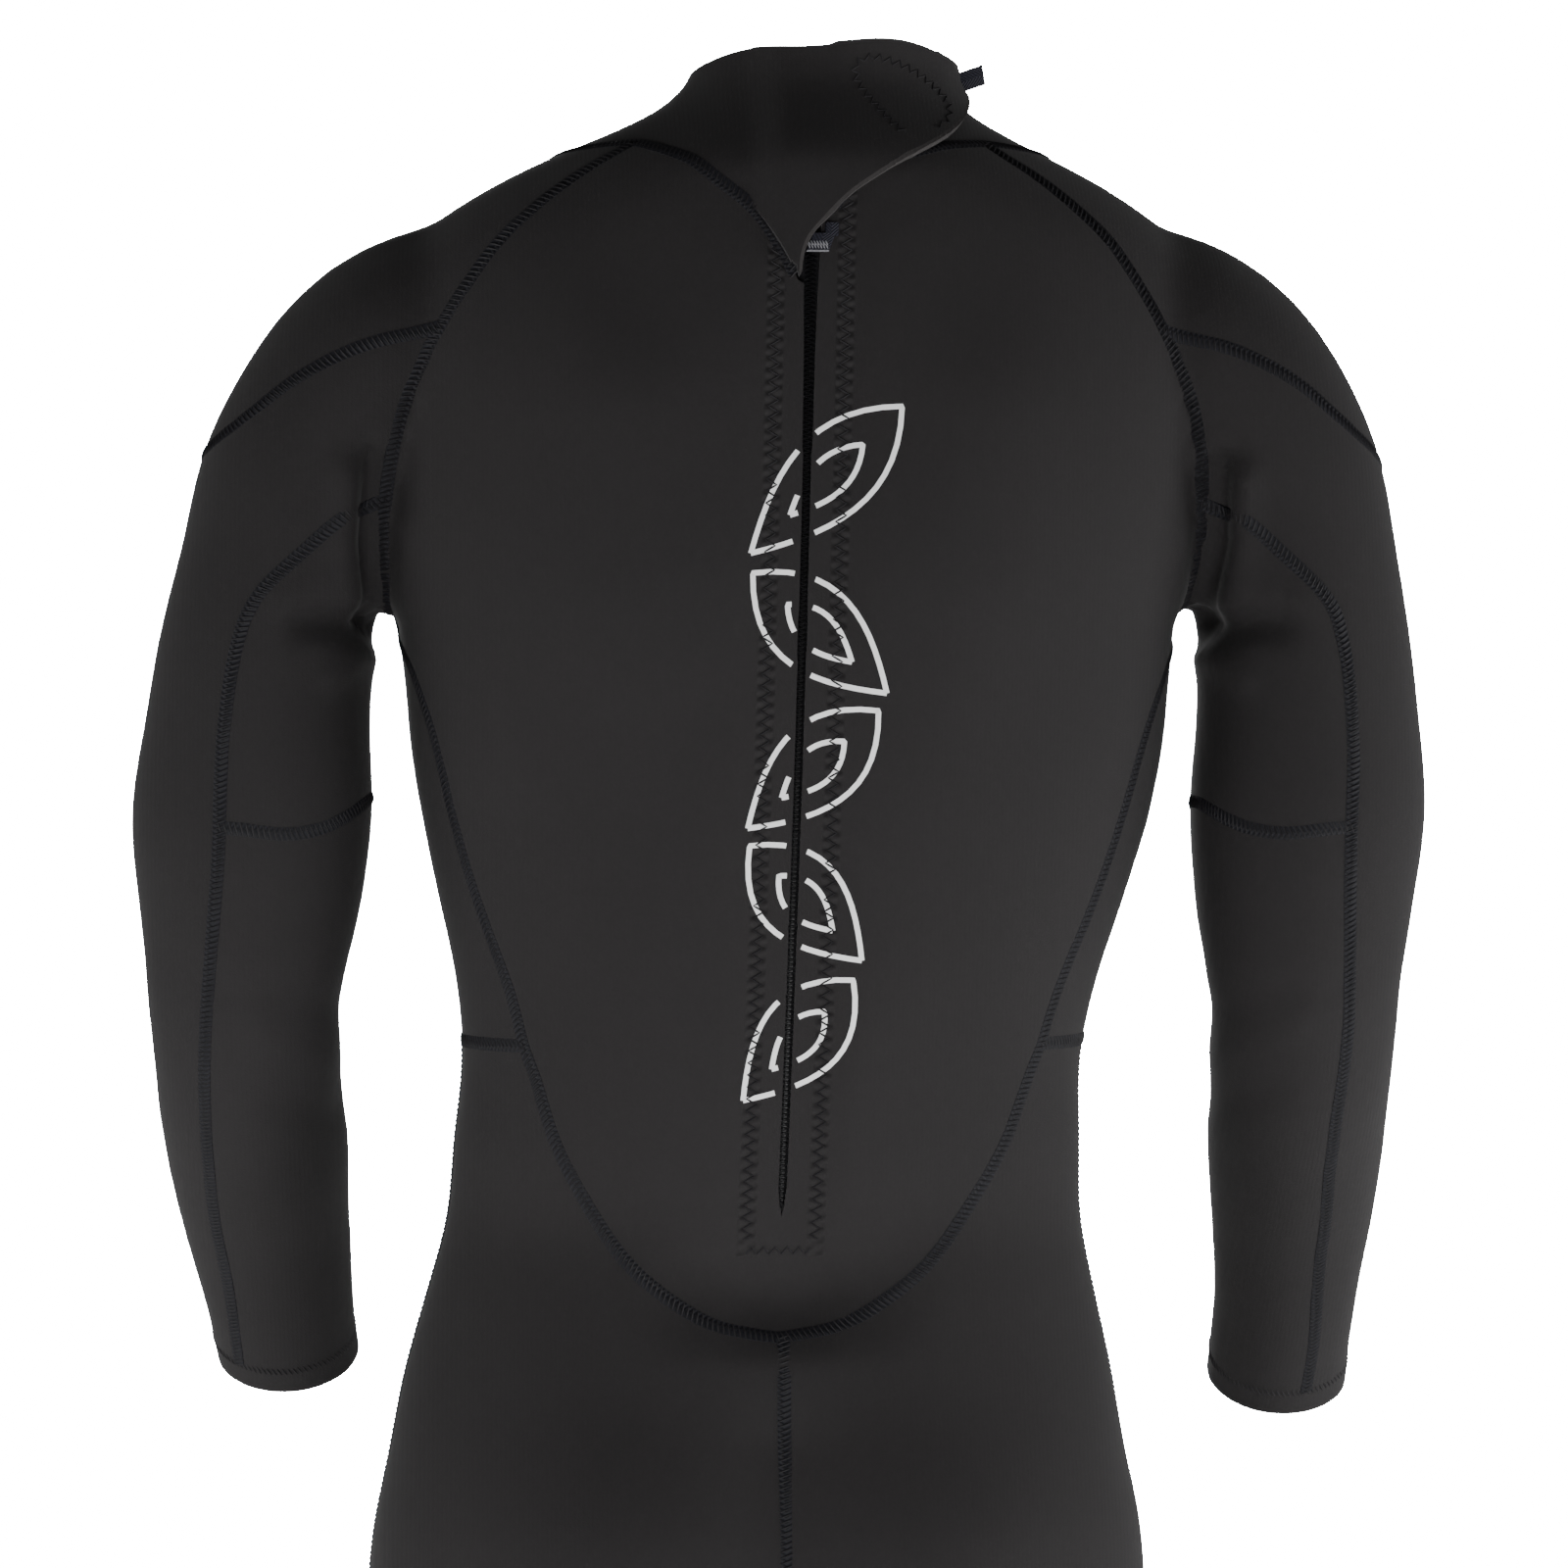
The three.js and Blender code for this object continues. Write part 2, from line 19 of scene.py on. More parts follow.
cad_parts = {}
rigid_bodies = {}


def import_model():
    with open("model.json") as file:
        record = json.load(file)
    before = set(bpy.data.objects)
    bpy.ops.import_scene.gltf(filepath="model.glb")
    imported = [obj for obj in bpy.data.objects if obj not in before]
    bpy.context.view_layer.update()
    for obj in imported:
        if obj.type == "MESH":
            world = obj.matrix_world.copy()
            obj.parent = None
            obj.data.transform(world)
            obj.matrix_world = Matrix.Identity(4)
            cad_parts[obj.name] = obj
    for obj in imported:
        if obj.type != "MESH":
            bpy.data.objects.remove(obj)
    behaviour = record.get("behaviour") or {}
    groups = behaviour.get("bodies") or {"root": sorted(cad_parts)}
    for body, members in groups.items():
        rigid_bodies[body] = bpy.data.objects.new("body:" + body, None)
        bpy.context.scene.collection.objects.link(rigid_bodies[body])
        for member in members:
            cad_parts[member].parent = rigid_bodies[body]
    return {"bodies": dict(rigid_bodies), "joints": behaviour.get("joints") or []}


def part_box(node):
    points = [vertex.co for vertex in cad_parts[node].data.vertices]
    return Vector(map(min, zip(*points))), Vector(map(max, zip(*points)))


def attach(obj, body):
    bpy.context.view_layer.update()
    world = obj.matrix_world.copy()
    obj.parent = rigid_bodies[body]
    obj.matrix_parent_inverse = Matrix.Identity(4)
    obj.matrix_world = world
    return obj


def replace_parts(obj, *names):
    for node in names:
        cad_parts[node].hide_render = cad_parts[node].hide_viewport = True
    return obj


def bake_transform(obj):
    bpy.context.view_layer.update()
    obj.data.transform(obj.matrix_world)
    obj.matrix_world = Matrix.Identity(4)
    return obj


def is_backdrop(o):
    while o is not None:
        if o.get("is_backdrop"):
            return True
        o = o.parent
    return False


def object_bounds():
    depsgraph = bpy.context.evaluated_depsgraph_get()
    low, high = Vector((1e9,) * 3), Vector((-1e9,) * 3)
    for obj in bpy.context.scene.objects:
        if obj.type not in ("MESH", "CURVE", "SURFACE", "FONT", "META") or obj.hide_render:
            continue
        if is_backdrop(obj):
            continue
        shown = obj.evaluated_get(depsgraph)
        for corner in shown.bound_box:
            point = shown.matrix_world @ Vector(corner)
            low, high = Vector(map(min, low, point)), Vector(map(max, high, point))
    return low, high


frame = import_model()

cad_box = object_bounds()
bodies = sorted(frame["bodies"])
print("bodies:", bodies)

# %% [markdown]
# ## Sizes
# Lengths below are in millimetres, as a pattern cutter writes them, and are turned into metres
# when a mesh is made. The chest and the back length come from the frame, so a suit of another
# size is graded with it. Like the frame, the suit leans a little to the wearer's right on its way
# up. Points are drawn upright first, and the lean is added last.

# %% Sizes taken from the frame
MM = 0.001
low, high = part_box("back_panel")
grade_x = (high[0] - low[0]) / 0.384
grade_z = (high[2] - low[2]) / 0.5578
neoprene_thickness = 3.0
zip_joint = next(j for j in frame["joints"] if j["name"] == "zip_travel")
arc_y, arc_z = zip_joint["pos_m"][1] / MM, zip_joint["pos_m"][2] / MM
arc_radius = 1250.0 * grade_z
zip_top, zip_bottom = -8.0 * grade_z, -492.0 * grade_z
print("grade", round(grade_x, 3), round(grade_z, 3), "zip arc", arc_y, arc_z)


def soft_rise(t, softness):
    return (t + np.hypot(t, softness)) / 2


def lean(z):
    """Sideways shift, in mm, of the suit at height z."""
    return -0.0283 * soft_rise(z + 560, 30) - 0.2 * soft_rise(z - 10, 10)


def zip_y(z):
    """How far back the centre line of the back lies at height z."""
    return arc_y + np.sqrt(arc_radius**2 - (z - arc_z) ** 2)


# %% [markdown]
# ## The camera and the room
# The suit is seen from behind and slightly from the wearer's left, from the neck to the hips. A
# long lens keeps the proportions true. The room is a pale floor and broad soft lights.

# %% Camera, floor and lights
scene = bpy.context.scene
camera_data = bpy.data.cameras.new("camera")
camera = bpy.data.objects.new("camera", camera_data)
scene.collection.objects.link(camera)
scene.camera = camera
camera_data.lens = 100
camera_data.sensor_width = 36
view_width = 0.736
view_yaw = math.radians(4)
view_centre = Vector((-0.0044, 0.06, -0.2896))
view_distance = view_width / 2 / (camera_data.sensor_width / 2 / camera_data.lens)
camera.location = view_centre + view_distance * Vector((math.sin(view_yaw), math.cos(view_yaw), 0))
camera.rotation_euler = (view_centre - camera.location).to_track_quat("-Z", "Y").to_euler()
print("camera distance", round(view_distance, 2))


def add_light(name, place, target, size, energy):
    data = bpy.data.lights.new(name, "AREA")
    data.shape = "DISK"
    data.size = size
    data.energy = energy
    light = bpy.data.objects.new(name, data)
    scene.collection.objects.link(light)
    light.location = place
    light.rotation_euler = (Vector(target) - Vector(place)).to_track_quat("-Z", "Y").to_euler()


add_light("front_soft", (0.1, 2.1, -1.5), (0, 0, -0.62), 1.4, 84)
add_light("left_soft", (2.1, 0.7, -0.85), (0, 0, -0.5), 1.2, 26)
add_light("right_soft", (-2.1, 0.6, -0.75), (0, 0, -0.4), 1.2, 38)
add_light("chest_soft", (0.3, -2.6, 0.2), (0, 0, -0.5), 1.6, 24)

world = bpy.data.worlds.new("studio")
scene.world = world
world.use_nodes = True
background = world.node_tree.nodes["Background"]
background.inputs["Color"].default_value = (1, 1, 1, 1)
seen_strength, lighting_strength = 60.0, 0.13
ray = world.node_tree.nodes.new("ShaderNodeLightPath")
strength = world.node_tree.nodes.new("ShaderNodeMapRange")
strength.inputs["To Min"].default_value = lighting_strength
strength.inputs["To Max"].default_value = seen_strength
world.node_tree.links.new(ray.outputs["Is Camera Ray"], strength.inputs["Value"])
world.node_tree.links.new(strength.outputs["Result"], background.inputs["Strength"])

floor_z = cad_box[0][2] - 0.002
bpy.ops.object.select_all(action="DESELECT")
bpy.ops.mesh.primitive_plane_add(size=5, location=(0, 0, floor_z))
floor = bpy.context.object
floor.name = "floor"
floor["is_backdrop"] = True

# %% [markdown]
# ## Materials
# Neoprene's jersey is a fine knit that scatters light at grazing angles, so it gets a bump of knit
# loops and a little sheen. Tiny changes of tone keep it from looking like plastic. Effects that
# several finishes share are node groups that put out masks and heights. The shader itself stays in
# each material.

# %% Node group helpers


def new_group(name, inputs, outputs):
    group = bpy.data.node_groups.new(name, "ShaderNodeTree")
    for label, value in inputs.items():
        socket = group.interface.new_socket(label, in_out="INPUT", socket_type="NodeSocketFloat")
        socket.default_value = value
    group.interface.new_socket("Coordinates", in_out="INPUT", socket_type="NodeSocketVector")
    for label, kind in outputs.items():
        group.interface.new_socket(label, in_out="OUTPUT", socket_type=kind)
    start = group.nodes.new("NodeGroupInput")
    end = group.nodes.new("NodeGroupOutput")
    return group, start, end


def math_node(tree, operation, a, b=None):
    node = tree.nodes.new("ShaderNodeMath")
    node.operation = operation
    for index, value in enumerate((a, b)):
        if value is None:
            continue
        if isinstance(value, (int, float)):
            node.inputs[index].default_value = value
        else:
            tree.links.new(value, node.inputs[index])
    return node.outputs[0]


def noise_node(tree, coordinates, scale, detail=2.0):
    node = tree.nodes.new("ShaderNodeTexNoise")
    node.inputs["Detail"].default_value = detail
    tree.links.new(coordinates, node.inputs["Vector"])
    if isinstance(scale, (int, float)):
        node.inputs["Scale"].default_value = scale
    else:
        tree.links.new(scale, node.inputs["Scale"])
    return node.outputs["Fac"]


def knit_group():
    """Fine jersey: height of the loops, and a tone that drifts over the cloth."""
    outputs = {"Height": "NodeSocketFloat", "Tone": "NodeSocketFloat"}
    group, start, end = new_group("jersey_knit", {"Loops": 1400.0, "Drift": 9.0}, outputs)
    vector = start.outputs["Coordinates"]
    loops = noise_node(group, vector, start.outputs["Loops"], 1.0)
    wale = group.nodes.new("ShaderNodeTexWave")
    wale.bands_direction = "X"
    wale.inputs["Scale"].default_value = 150
    wale.inputs["Distortion"].default_value = 1.5
    group.links.new(vector, wale.inputs["Vector"])
    height = math_node(group, "ADD", loops, math_node(group, "MULTIPLY", wale.outputs["Fac"], 0.25))
    group.links.new(height, end.inputs["Height"])
    drift = noise_node(group, vector, start.outputs["Drift"], 3.0)
    grain = noise_node(group, vector, 700, 2.0)
    drift_share = math_node(group, "MULTIPLY", drift, 0.6)
    tone = math_node(group, "ADD", drift_share, math_node(group, "MULTIPLY", grain, 0.4))
    group.links.new(tone, end.inputs["Tone"])
    return group


def weave_group():
    """Woven threads that follow a piece's own UV map, in metres."""
    outputs = {"Height": "NodeSocketFloat", "Tone": "NodeSocketFloat"}
    group, start, end = new_group("thread_weave", {"Threads": 900.0, "Slant": 0.6}, outputs)
    split = group.nodes.new("ShaderNodeSeparateXYZ")
    group.links.new(start.outputs["Coordinates"], split.inputs[0])
    across = math_node(group, "ABSOLUTE", split.outputs["Y"])
    slanted = math_node(group, "MULTIPLY", across, start.outputs["Slant"])
    along = math_node(group, "ADD", split.outputs["X"], slanted)
    phase = math_node(group, "MULTIPLY", along, start.outputs["Threads"])
    wave = math_node(group, "SINE", math_node(group, "MULTIPLY", phase, 2 * math.pi))
    height = math_node(group, "ADD", math_node(group, "MULTIPLY", wave, 0.5), 0.5)
    group.links.new(height, end.inputs["Height"])
    grain = noise_node(group, start.outputs["Coordinates"], 1500, 2.0)
    thread_share = math_node(group, "MULTIPLY", height, 0.7)
    tone = math_node(group, "ADD", thread_share, math_node(group, "MULTIPLY", grain, 0.3))
    group.links.new(tone, end.inputs["Tone"])
    return group


def pucker_group():
    """Small dimples where a zigzag row pulls the cloth in, either side of the zip."""
    outputs = {"Height": "NodeSocketFloat", "Mask": "NodeSocketFloat"}
    inputs = {"Row Offset": 16.2 * MM, "Row Width": 4.4 * MM, "Pitch": 5.6 * MM, "Row End": -510 * MM}
    group, start, end = new_group("stitch_pucker", inputs, outputs)
    split = group.nodes.new("ShaderNodeSeparateXYZ")
    group.links.new(start.outputs["Coordinates"], split.inputs[0])
    aside = math_node(group, "ABSOLUTE", split.outputs["X"])
    off = math_node(group, "SUBTRACT", aside, start.outputs["Row Offset"])
    share = math_node(group, "DIVIDE", math_node(group, "ABSOLUTE", off), start.outputs["Row Width"])
    falloff = math_node(group, "SUBTRACT", 1.0, math_node(group, "MULTIPLY", share, share))
    mask = math_node(group, "MAXIMUM", falloff, 0.0)
    within = math_node(group, "GREATER_THAN", split.outputs["Y"], start.outputs["Row End"])
    mask = math_node(group, "MULTIPLY", mask, within)
    turns = math_node(group, "DIVIDE", split.outputs["Y"], start.outputs["Pitch"])
    wander = noise_node(group, start.outputs["Coordinates"], 60, 1.0)
    wander = math_node(group, "MULTIPLY", wander, 4.0)
    phase = math_node(group, "ADD", math_node(group, "MULTIPLY", turns, 2 * math.pi), wander)
    wave = math_node(group, "SINE", phase)
    tilt = math_node(group, "DIVIDE", off, start.outputs["Row Width"])
    dimple = math_node(group, "MULTIPLY", math_node(group, "MULTIPLY", wave, tilt), 1.6)
    height = math_node(group, "MULTIPLY", math_node(group, "SUBTRACT", dimple, 0.35), mask)
    group.links.new(height, end.inputs["Height"])
    group.links.new(mask, end.inputs["Mask"])
    return group


knit = knit_group()
weave = weave_group()
pucker = pucker_group()


def cloth_material(name, group, dark, light, roughness, bump, sheen=0.0, on_uv=False, settings=None):
    """A finish whose tone and bump come from a shared group."""
    material = bpy.data.materials.new(name)
    material.use_nodes = True
    tree = material.node_tree
    shader = tree.nodes["Principled BSDF"]
    shader.inputs["Roughness"].default_value = roughness
    shader.inputs["Specular IOR Level"].default_value = 0.3
    shader.inputs["Sheen Weight"].default_value = sheen
    shader.inputs["Sheen Roughness"].default_value = 0.45
    place = tree.nodes.new("ShaderNodeTexCoord")
    pattern = tree.nodes.new("ShaderNodeGroup")
    pattern.node_tree = group
    for label, value in (settings or {}).items():
        pattern.inputs[label].default_value = value
    tree.links.new(place.outputs["UV" if on_uv else "Object"], pattern.inputs["Coordinates"])
    ramp = tree.nodes.new("ShaderNodeMix")
    ramp.data_type = "RGBA"
    ramp.inputs["A"].default_value = (*dark, 1)
    ramp.inputs["B"].default_value = (*light, 1)
    tree.links.new(pattern.outputs["Tone"], ramp.inputs["Factor"])
    tree.links.new(ramp.outputs["Result"], shader.inputs["Base Color"])
    relief = tree.nodes.new("ShaderNodeBump")
    relief.inputs["Distance"].default_value = bump * MM
    tree.links.new(pattern.outputs["Height"], relief.inputs["Height"])
    tree.links.new(relief.outputs["Normal"], shader.inputs["Normal"])
    return material


# %% The finishes
# after the name and the group: dark tone, light tone, roughness, bump in mm
jersey_tones = (0.0095, 0.0083, 0.0088), (0.0172, 0.0155, 0.0162)
jersey = cloth_material("jersey", knit, *jersey_tones, 0.84, 0.10, sheen=0.06)
back_jersey = cloth_material("back_jersey", knit, *jersey_tones, 0.84, 0.10, sheen=0.06)
tree = back_jersey.node_tree
row_place = tree.nodes.new("ShaderNodeTexCoord")
row_pattern = tree.nodes.new("ShaderNodeGroup")
row_pattern.node_tree = pucker
row_relief = tree.nodes.new("ShaderNodeBump")
row_relief.inputs["Distance"].default_value = 0.8 * MM
tree.links.new(row_place.outputs["UV"], row_pattern.inputs["Coordinates"])
tree.links.new(row_pattern.outputs["Height"], row_relief.inputs["Height"])
tree.links.new(tree.nodes["Bump"].outputs["Normal"], row_relief.inputs["Normal"])
tree.links.new(row_relief.outputs["Normal"], tree.nodes["Principled BSDF"].inputs["Normal"])
knee_rubber = cloth_material("knee_rubber", knit, (0.008, 0.008, 0.008), (0.016, 0.016, 0.016), 0.5, 0.2)
seam_thread = cloth_material(
    "seam_thread", weave, (0.002, 0.002, 0.0032), (0.0062, 0.0062, 0.0100), 0.7, 0.25,
    on_uv=True, settings={"Threads": 400.0},
)
stitch_thread = cloth_material(
    "stitch_thread", knit, (0.004, 0.0035, 0.0045), (0.010, 0.009, 0.011), 0.65, 0.05
)
cut_foam = cloth_material(
    "cut_foam", knit, (0.028, 0.026, 0.026), (0.055, 0.051, 0.051), 0.9, 0.2, settings={"Loops": 900.0}
)
webbing = cloth_material(
    "webbing", weave, (0.004, 0.004, 0.007), (0.026, 0.026, 0.042), 0.7, 0.5,
    on_uv=True, settings={"Threads": 620.0, "Slant": 1.0},
)
tape_cloth = cloth_material(
    "tape_cloth", weave, (0.004, 0.004, 0.005), (0.014, 0.014, 0.016), 0.8, 0.2,
    on_uv=True, settings={"Threads": 1200.0},
)
pile = cloth_material(
    "pile", knit, (0.006, 0.006, 0.007), (0.02, 0.019, 0.02), 0.95, 0.5,
    sheen=0.3, settings={"Loops": 2600.0},
)
coil_nylon = cloth_material("coil_nylon", knit, (0.004, 0.004, 0.005), (0.010, 0.010, 0.011), 0.4, 0.02)
print_ink = cloth_material("print_ink", knit, (0.90, 0.90, 0.90), (0.97, 0.97, 0.97), 0.55, 0.04)
slider_enamel = cloth_material(
    "slider_enamel", knit, (0.010, 0.010, 0.011), (0.018, 0.018, 0.019), 0.35, 0.02
)
slider_enamel.node_tree.nodes["Principled BSDF"].inputs["Metallic"].default_value = 0.7
floor_paint = cloth_material("floor_paint", knit, (0.78, 0.78, 0.77), (0.84, 0.84, 0.83), 0.7, 0.02)
floor_shader = floor_paint.node_tree.nodes["Principled BSDF"]
floor_shader.inputs["Emission Color"].default_value = (1, 1, 1, 1)
floor_shader.inputs["Emission Strength"].default_value = 0.4
floor.data.materials.append(floor_paint)
print("finishes:", len(bpy.data.materials))

# %% [markdown]
# ## The body form
# A suit on a form is smooth, so the form is made as a sculptor makes an armature: a tube is rolled
# for the trunk, each arm and each leg, ring by ring, from a short list of stations. The tubes
# overlap, a voxel remesh melts them into one skin, and smoothing fairs the joins at the shoulders
# and the crotch.

# %% Stations of the trunk and the limbs
# height, half width, depth in front, depth behind (none where the zip's arc sets it), squareness
trunk_rows = [
    (78, 62, 60, 57, 2.0),
    (60, 62, 60, 57, 2.0),
    (45, 64.5, 61, 57, 2.0),
    (34, 74, 63, 60, 2.0),
    (23, 94, 66, 68, 2.05),
    (12, 117, 70, 79, 2.1),
    (2, 138, 74, 88, 2.15),
    (-9, 158, 79, None, 2.2),
    (-26, 181, 86, None, 2.3),
    (-50, 197, 93, None, 2.35),
    (-80, 203, 100, None, 2.4),
    (-120, 202, 109, None, 2.4),
    (-165, 197, 115, None, 2.4),
    (-212, 188, 117, None, 2.4),
    (-240, 184.5, 116, None, 2.4),
    (-271, 181.5, 114, None, 2.35),
    (-308, 174.5, 110, None, 2.3),
    (-346, 165, 108, None, 2.3),
    (-384, 154.5, 106, None, 2.3),
    (-422, 149, 106, None, 2.3),
    (-460, 151, 106, None, 2.3),
    (-498, 153, 106, None, 2.3),
    (-536, 161.5, 106, 84, 2.3),
    (-574, 171, 106, 95, 2.35),
    (-612, 178, 105, 108, 2.4),
    (-650, 185, 102, 117, 2.4),
    (-700, 187, 98, 120, 2.4),
    (-738, 181, 88, 110, 2.4),
]
# how far the middle of the body stands to one side of its centre seam, by height
sway_rows = [(-738, 4.5), (-612, 4.5), (-455, 2.4), (-308, -2.5), (-190, 0), (80, 0)]
# centre x, y, z, half width across, half width front to back
arm_rows = [
    (137, 0, -60.5, 50, 52),
    (190, 2, -88, 57.5, 62),
    (227, 4, -136.5, 55, 61),
    (243, 6, -194, 51, 60),
    (250, 8, -250, 53, 59),
    (252.5, 9, -300, 57, 58),
    (253, 9, -342, 53.5, 54),
    (255, 7, -384, 47, 47.5),
    (255.5, -13, -424, 44.5, 44.5),
    (256, -47, -464, 44.5, 42),
    (257, -80, -506, 41, 37),
    (257, -109, -548, 37, 33.5),
    (256, -129, -576, 36, 32.5),
    (256, -142, -594, 36.5, 33),
    (256, -154, -611, 36.5, 33),
]
# how far each arm hangs to the wearer's left of its even place, by height
arm_sway_rows = {
    1: [
        (-620, -22), (-590, -22), (-548, -18), (-506, -12), (-440, -3), (-384, 0), (-240, 1.5),
        (-180, -1), (0, -3),
    ],
    -1: [
        (-620, -19), (-590, -19), (-548, -16), (-506, -13), (-440, -6), (-384, -1), (-240, -3.5),
        (-180, -3), (0, 0),
    ],
}
leg_rows = [
    (92, 6, -680, 86, 101),
    (95, 8, -745, 89, 99),
    (99, 6, -820, 82, 91),
    (104, 2, -910, 72, 80),
    (107, -2, -985, 63, 70),
    (108, -4, -1040, 58.5, 64),
    (110, 2, -1095, 55.5, 61),
    (112, 12, -1160, 57, 64),
    (114, 14, -1230, 50.5, 57),
    (116, 8, -1310, 42.5, 46),
    (117, 4, -1385, 39.5, 43.5),
    (117, 4, -1420, 40.5, 44.5),
]


def smooth_path(rows, step):
    """Extra rows on a smooth curve through the given ones, about a step apart."""
    rows = np.array(rows, float)
    padded = np.vstack([2 * rows[0] - rows[1], rows, 2 * rows[-1] - rows[-2]])
    out = []
    for a, b, c, d in zip(padded, padded[1:], padded[2:], padded[3:]):
        count = max(1, round(np.linalg.norm((c - b)[:3]) / step))
        for t in np.arange(count) / count:
            second = (2 * a - 5 * b + 4 * c - d) * t**2
            third = (3 * b - a - 3 * c + d) * t**3
            out.append(0.5 * (2 * b + (c - a) * t + second + third))
    out.append(rows[-1])
    return np.array(out)


def roll_tube(name, rings):
    """A closed tube through rings of points, rolled from a flat grid whose long edges are welded."""
    ring_count, sides = rings.shape[:2]
    bpy.ops.object.select_all(action="DESELECT")
    bpy.ops.mesh.primitive_grid_add(x_subdivisions=sides, y_subdivisions=ring_count - 1)
    tube = bpy.context.object
    tube.name = name
    rolled = np.concatenate([rings, rings[:, :1]], axis=1).reshape(-1, 3)
    tube.data.vertices.foreach_set("co", (rolled * MM).ravel())
    bpy.ops.object.mode_set(mode="EDIT")
    bpy.ops.mesh.select_all(action="SELECT")
    bpy.ops.mesh.remove_doubles(threshold=1e-6)
    bpy.ops.mesh.fill_holes(sides=0)
    bpy.ops.mesh.normals_make_consistent(inside=False)
    bpy.ops.object.mode_set(mode="OBJECT")
    tube.location = (0, 0, 0)
    return tube


def squared(value, squareness):
    return np.sign(value) * np.abs(value) ** (2 / squareness)


def trunk_rings(sides=72):
    rows = []
    for z, half, front, back, squareness in trunk_rows:
        behind = zip_y(z * grade_z) if back is None else back
        rows.append((z * grade_z, half * grade_x, front, behind, squareness))
    turn = np.arange(sides) / sides * 2 * math.pi
    rings = []
    for z, half, front, behind, squareness in smooth_path(rows, 12):
        side, deep = squared(np.sin(turn), squareness), squared(np.cos(turn), squareness)
        depth = np.where(deep > 0, behind, front)
        tilt = max(0.0, z) / 58 * 8 * deep
        aside = np.interp(z / grade_z, *np.array(sorted(sway_rows)).T)
        rings.append(np.stack([side * half + aside, deep * depth, z + tilt], axis=1))
    return np.array(rings)


def limb_rings(rows, sign, sides=40):
    """Rings square to the line of the limb."""
    rows = smooth_path([(sign * x * grade_x, y, z * grade_z, a, b) for x, y, z, a, b in rows], 12)
    centres = rows[:, :3]
    if rows[-1, 2] > -700 * grade_z:
        centres[:, 0] += np.interp(centres[:, 2] / grade_z, *np.array(arm_sway_rows[sign]).T)
    lines = np.gradient(centres, axis=0)
    turn = np.arange(sides) / sides * 2 * math.pi
    rings = []
    for centre, line, (half, deep) in zip(centres, lines, rows[:, 3:]):
        up = -line / np.linalg.norm(line)
        aside = np.cross((0, 1, 0), up)
        aside /= np.linalg.norm(aside)
        back = np.cross(up, aside)
        ring = np.outer(np.sin(turn) * half, aside) + np.outer(np.cos(turn) * deep, back)
        rings.append(centre + ring)
    return np.array(rings)


# %% Roll the tubes and melt them into one skin
voxel = 0.004


def apply_modifier(obj, kind, **settings):
    bpy.ops.object.select_all(action="DESELECT")
    bpy.context.view_layer.objects.active = obj
    obj.select_set(True)
    modifier = obj.modifiers.new(kind.lower(), kind)
    for key, value in settings.items():
        setattr(modifier, key, value)
    bpy.ops.object.modifier_apply(modifier=modifier.name)


def join(parts, name):
    bpy.ops.object.select_all(action="DESELECT")
    for part in parts:
        part.select_set(True)
    bpy.context.view_layer.objects.active = parts[0]
    bpy.ops.object.join()
    parts[0].name = name
    return parts[0]


tubes = [roll_tube("trunk", trunk_rings())]
for sign in (1, -1):
    tubes.append(roll_tube("arm", limb_rings(arm_rows, sign)))
    tubes.append(roll_tube("leg", limb_rings(leg_rows, sign)))
skin = join(tubes, "skin")
apply_modifier(skin, "REMESH", mode="VOXEL", voxel_size=voxel)
print("skin vertices:", len(skin.data.vertices))


def read_points(obj):
    """The vertices in mm."""
    flat = np.empty(len(obj.data.vertices) * 3)
    obj.data.vertices.foreach_get("co", flat)
    return flat.reshape(-1, 3) / MM


def write_points(obj, points):
    obj.data.vertices.foreach_set("co", (points * MM).ravel())
    obj.data.update()


def read_normals(obj):
    flat = np.empty(len(obj.data.vertices) * 3)
    obj.data.vertices.foreach_get("normal", flat)
    return flat.reshape(-1, 3)


# %% [markdown]
# ## Muscles, hollows and folds
# Cloth this thick bridges small hollows and folds only where it must: in the armpit, where the
# sleeve meets the side, and faintly at the elbow. Each bump or crease is a soft push along the
# surface's normal, strongest on its line and fading with distance.

# %% Push and crease the skin


def step_up(value, start, end):
    t = np.clip((value - start) / (end - start), 0, 1)
    return t * t * (3 - 2 * t)


def fair(obj, iterations, weights):
    """Smooths a mesh, each vertex as much as its weight says."""
    group = obj.vertex_groups.new(name="fairing")
    levels = np.round(np.clip(weights, 0, 1) * 8).astype(int)
    for level in range(1, 9):
        group.add([int(i) for i in np.flatnonzero(levels == level)], level / 8, "REPLACE")
    apply_modifier(obj, "SMOOTH", factor=0.5, iterations=iterations, vertex_group="fairing")
    obj.vertex_groups.clear()


points = read_points(skin)
armpit_gap = np.hypot((np.abs(points[:, 0]) - 192) / 26, np.maximum(0, np.abs(points[:, 2] + 258) - 40) / 26)
weights = step_up(armpit_gap, 0.5, 1.6)
fair(skin, 5, np.maximum(weights, 0.3))
shoulder = 1 - step_up(np.hypot((np.abs(points[:, 0]) - 120) / 90, (points[:, 2] + 20) / 70), 0.7, 1.2)
fair(skin, 12, shoulder)


def near_line(points, line, width):
    """1 on the line and fading to 0 at about two widths; distances are in the upright XZ plane."""
    flat = points[:, [0, 2]]
    best = np.full(len(flat), 1e9)
    for a, b in zip(line, line[1:]):
        a, b = np.array(a, float), np.array(b, float)
        along = np.clip(((flat - a) @ (b - a)) / ((b - a) @ (b - a)), 0, 1)
        gap = flat - a - along[:, None] * (b - a)
        best = np.minimum(best, (gap**2).sum(1))
    return np.exp(-best / width**2)


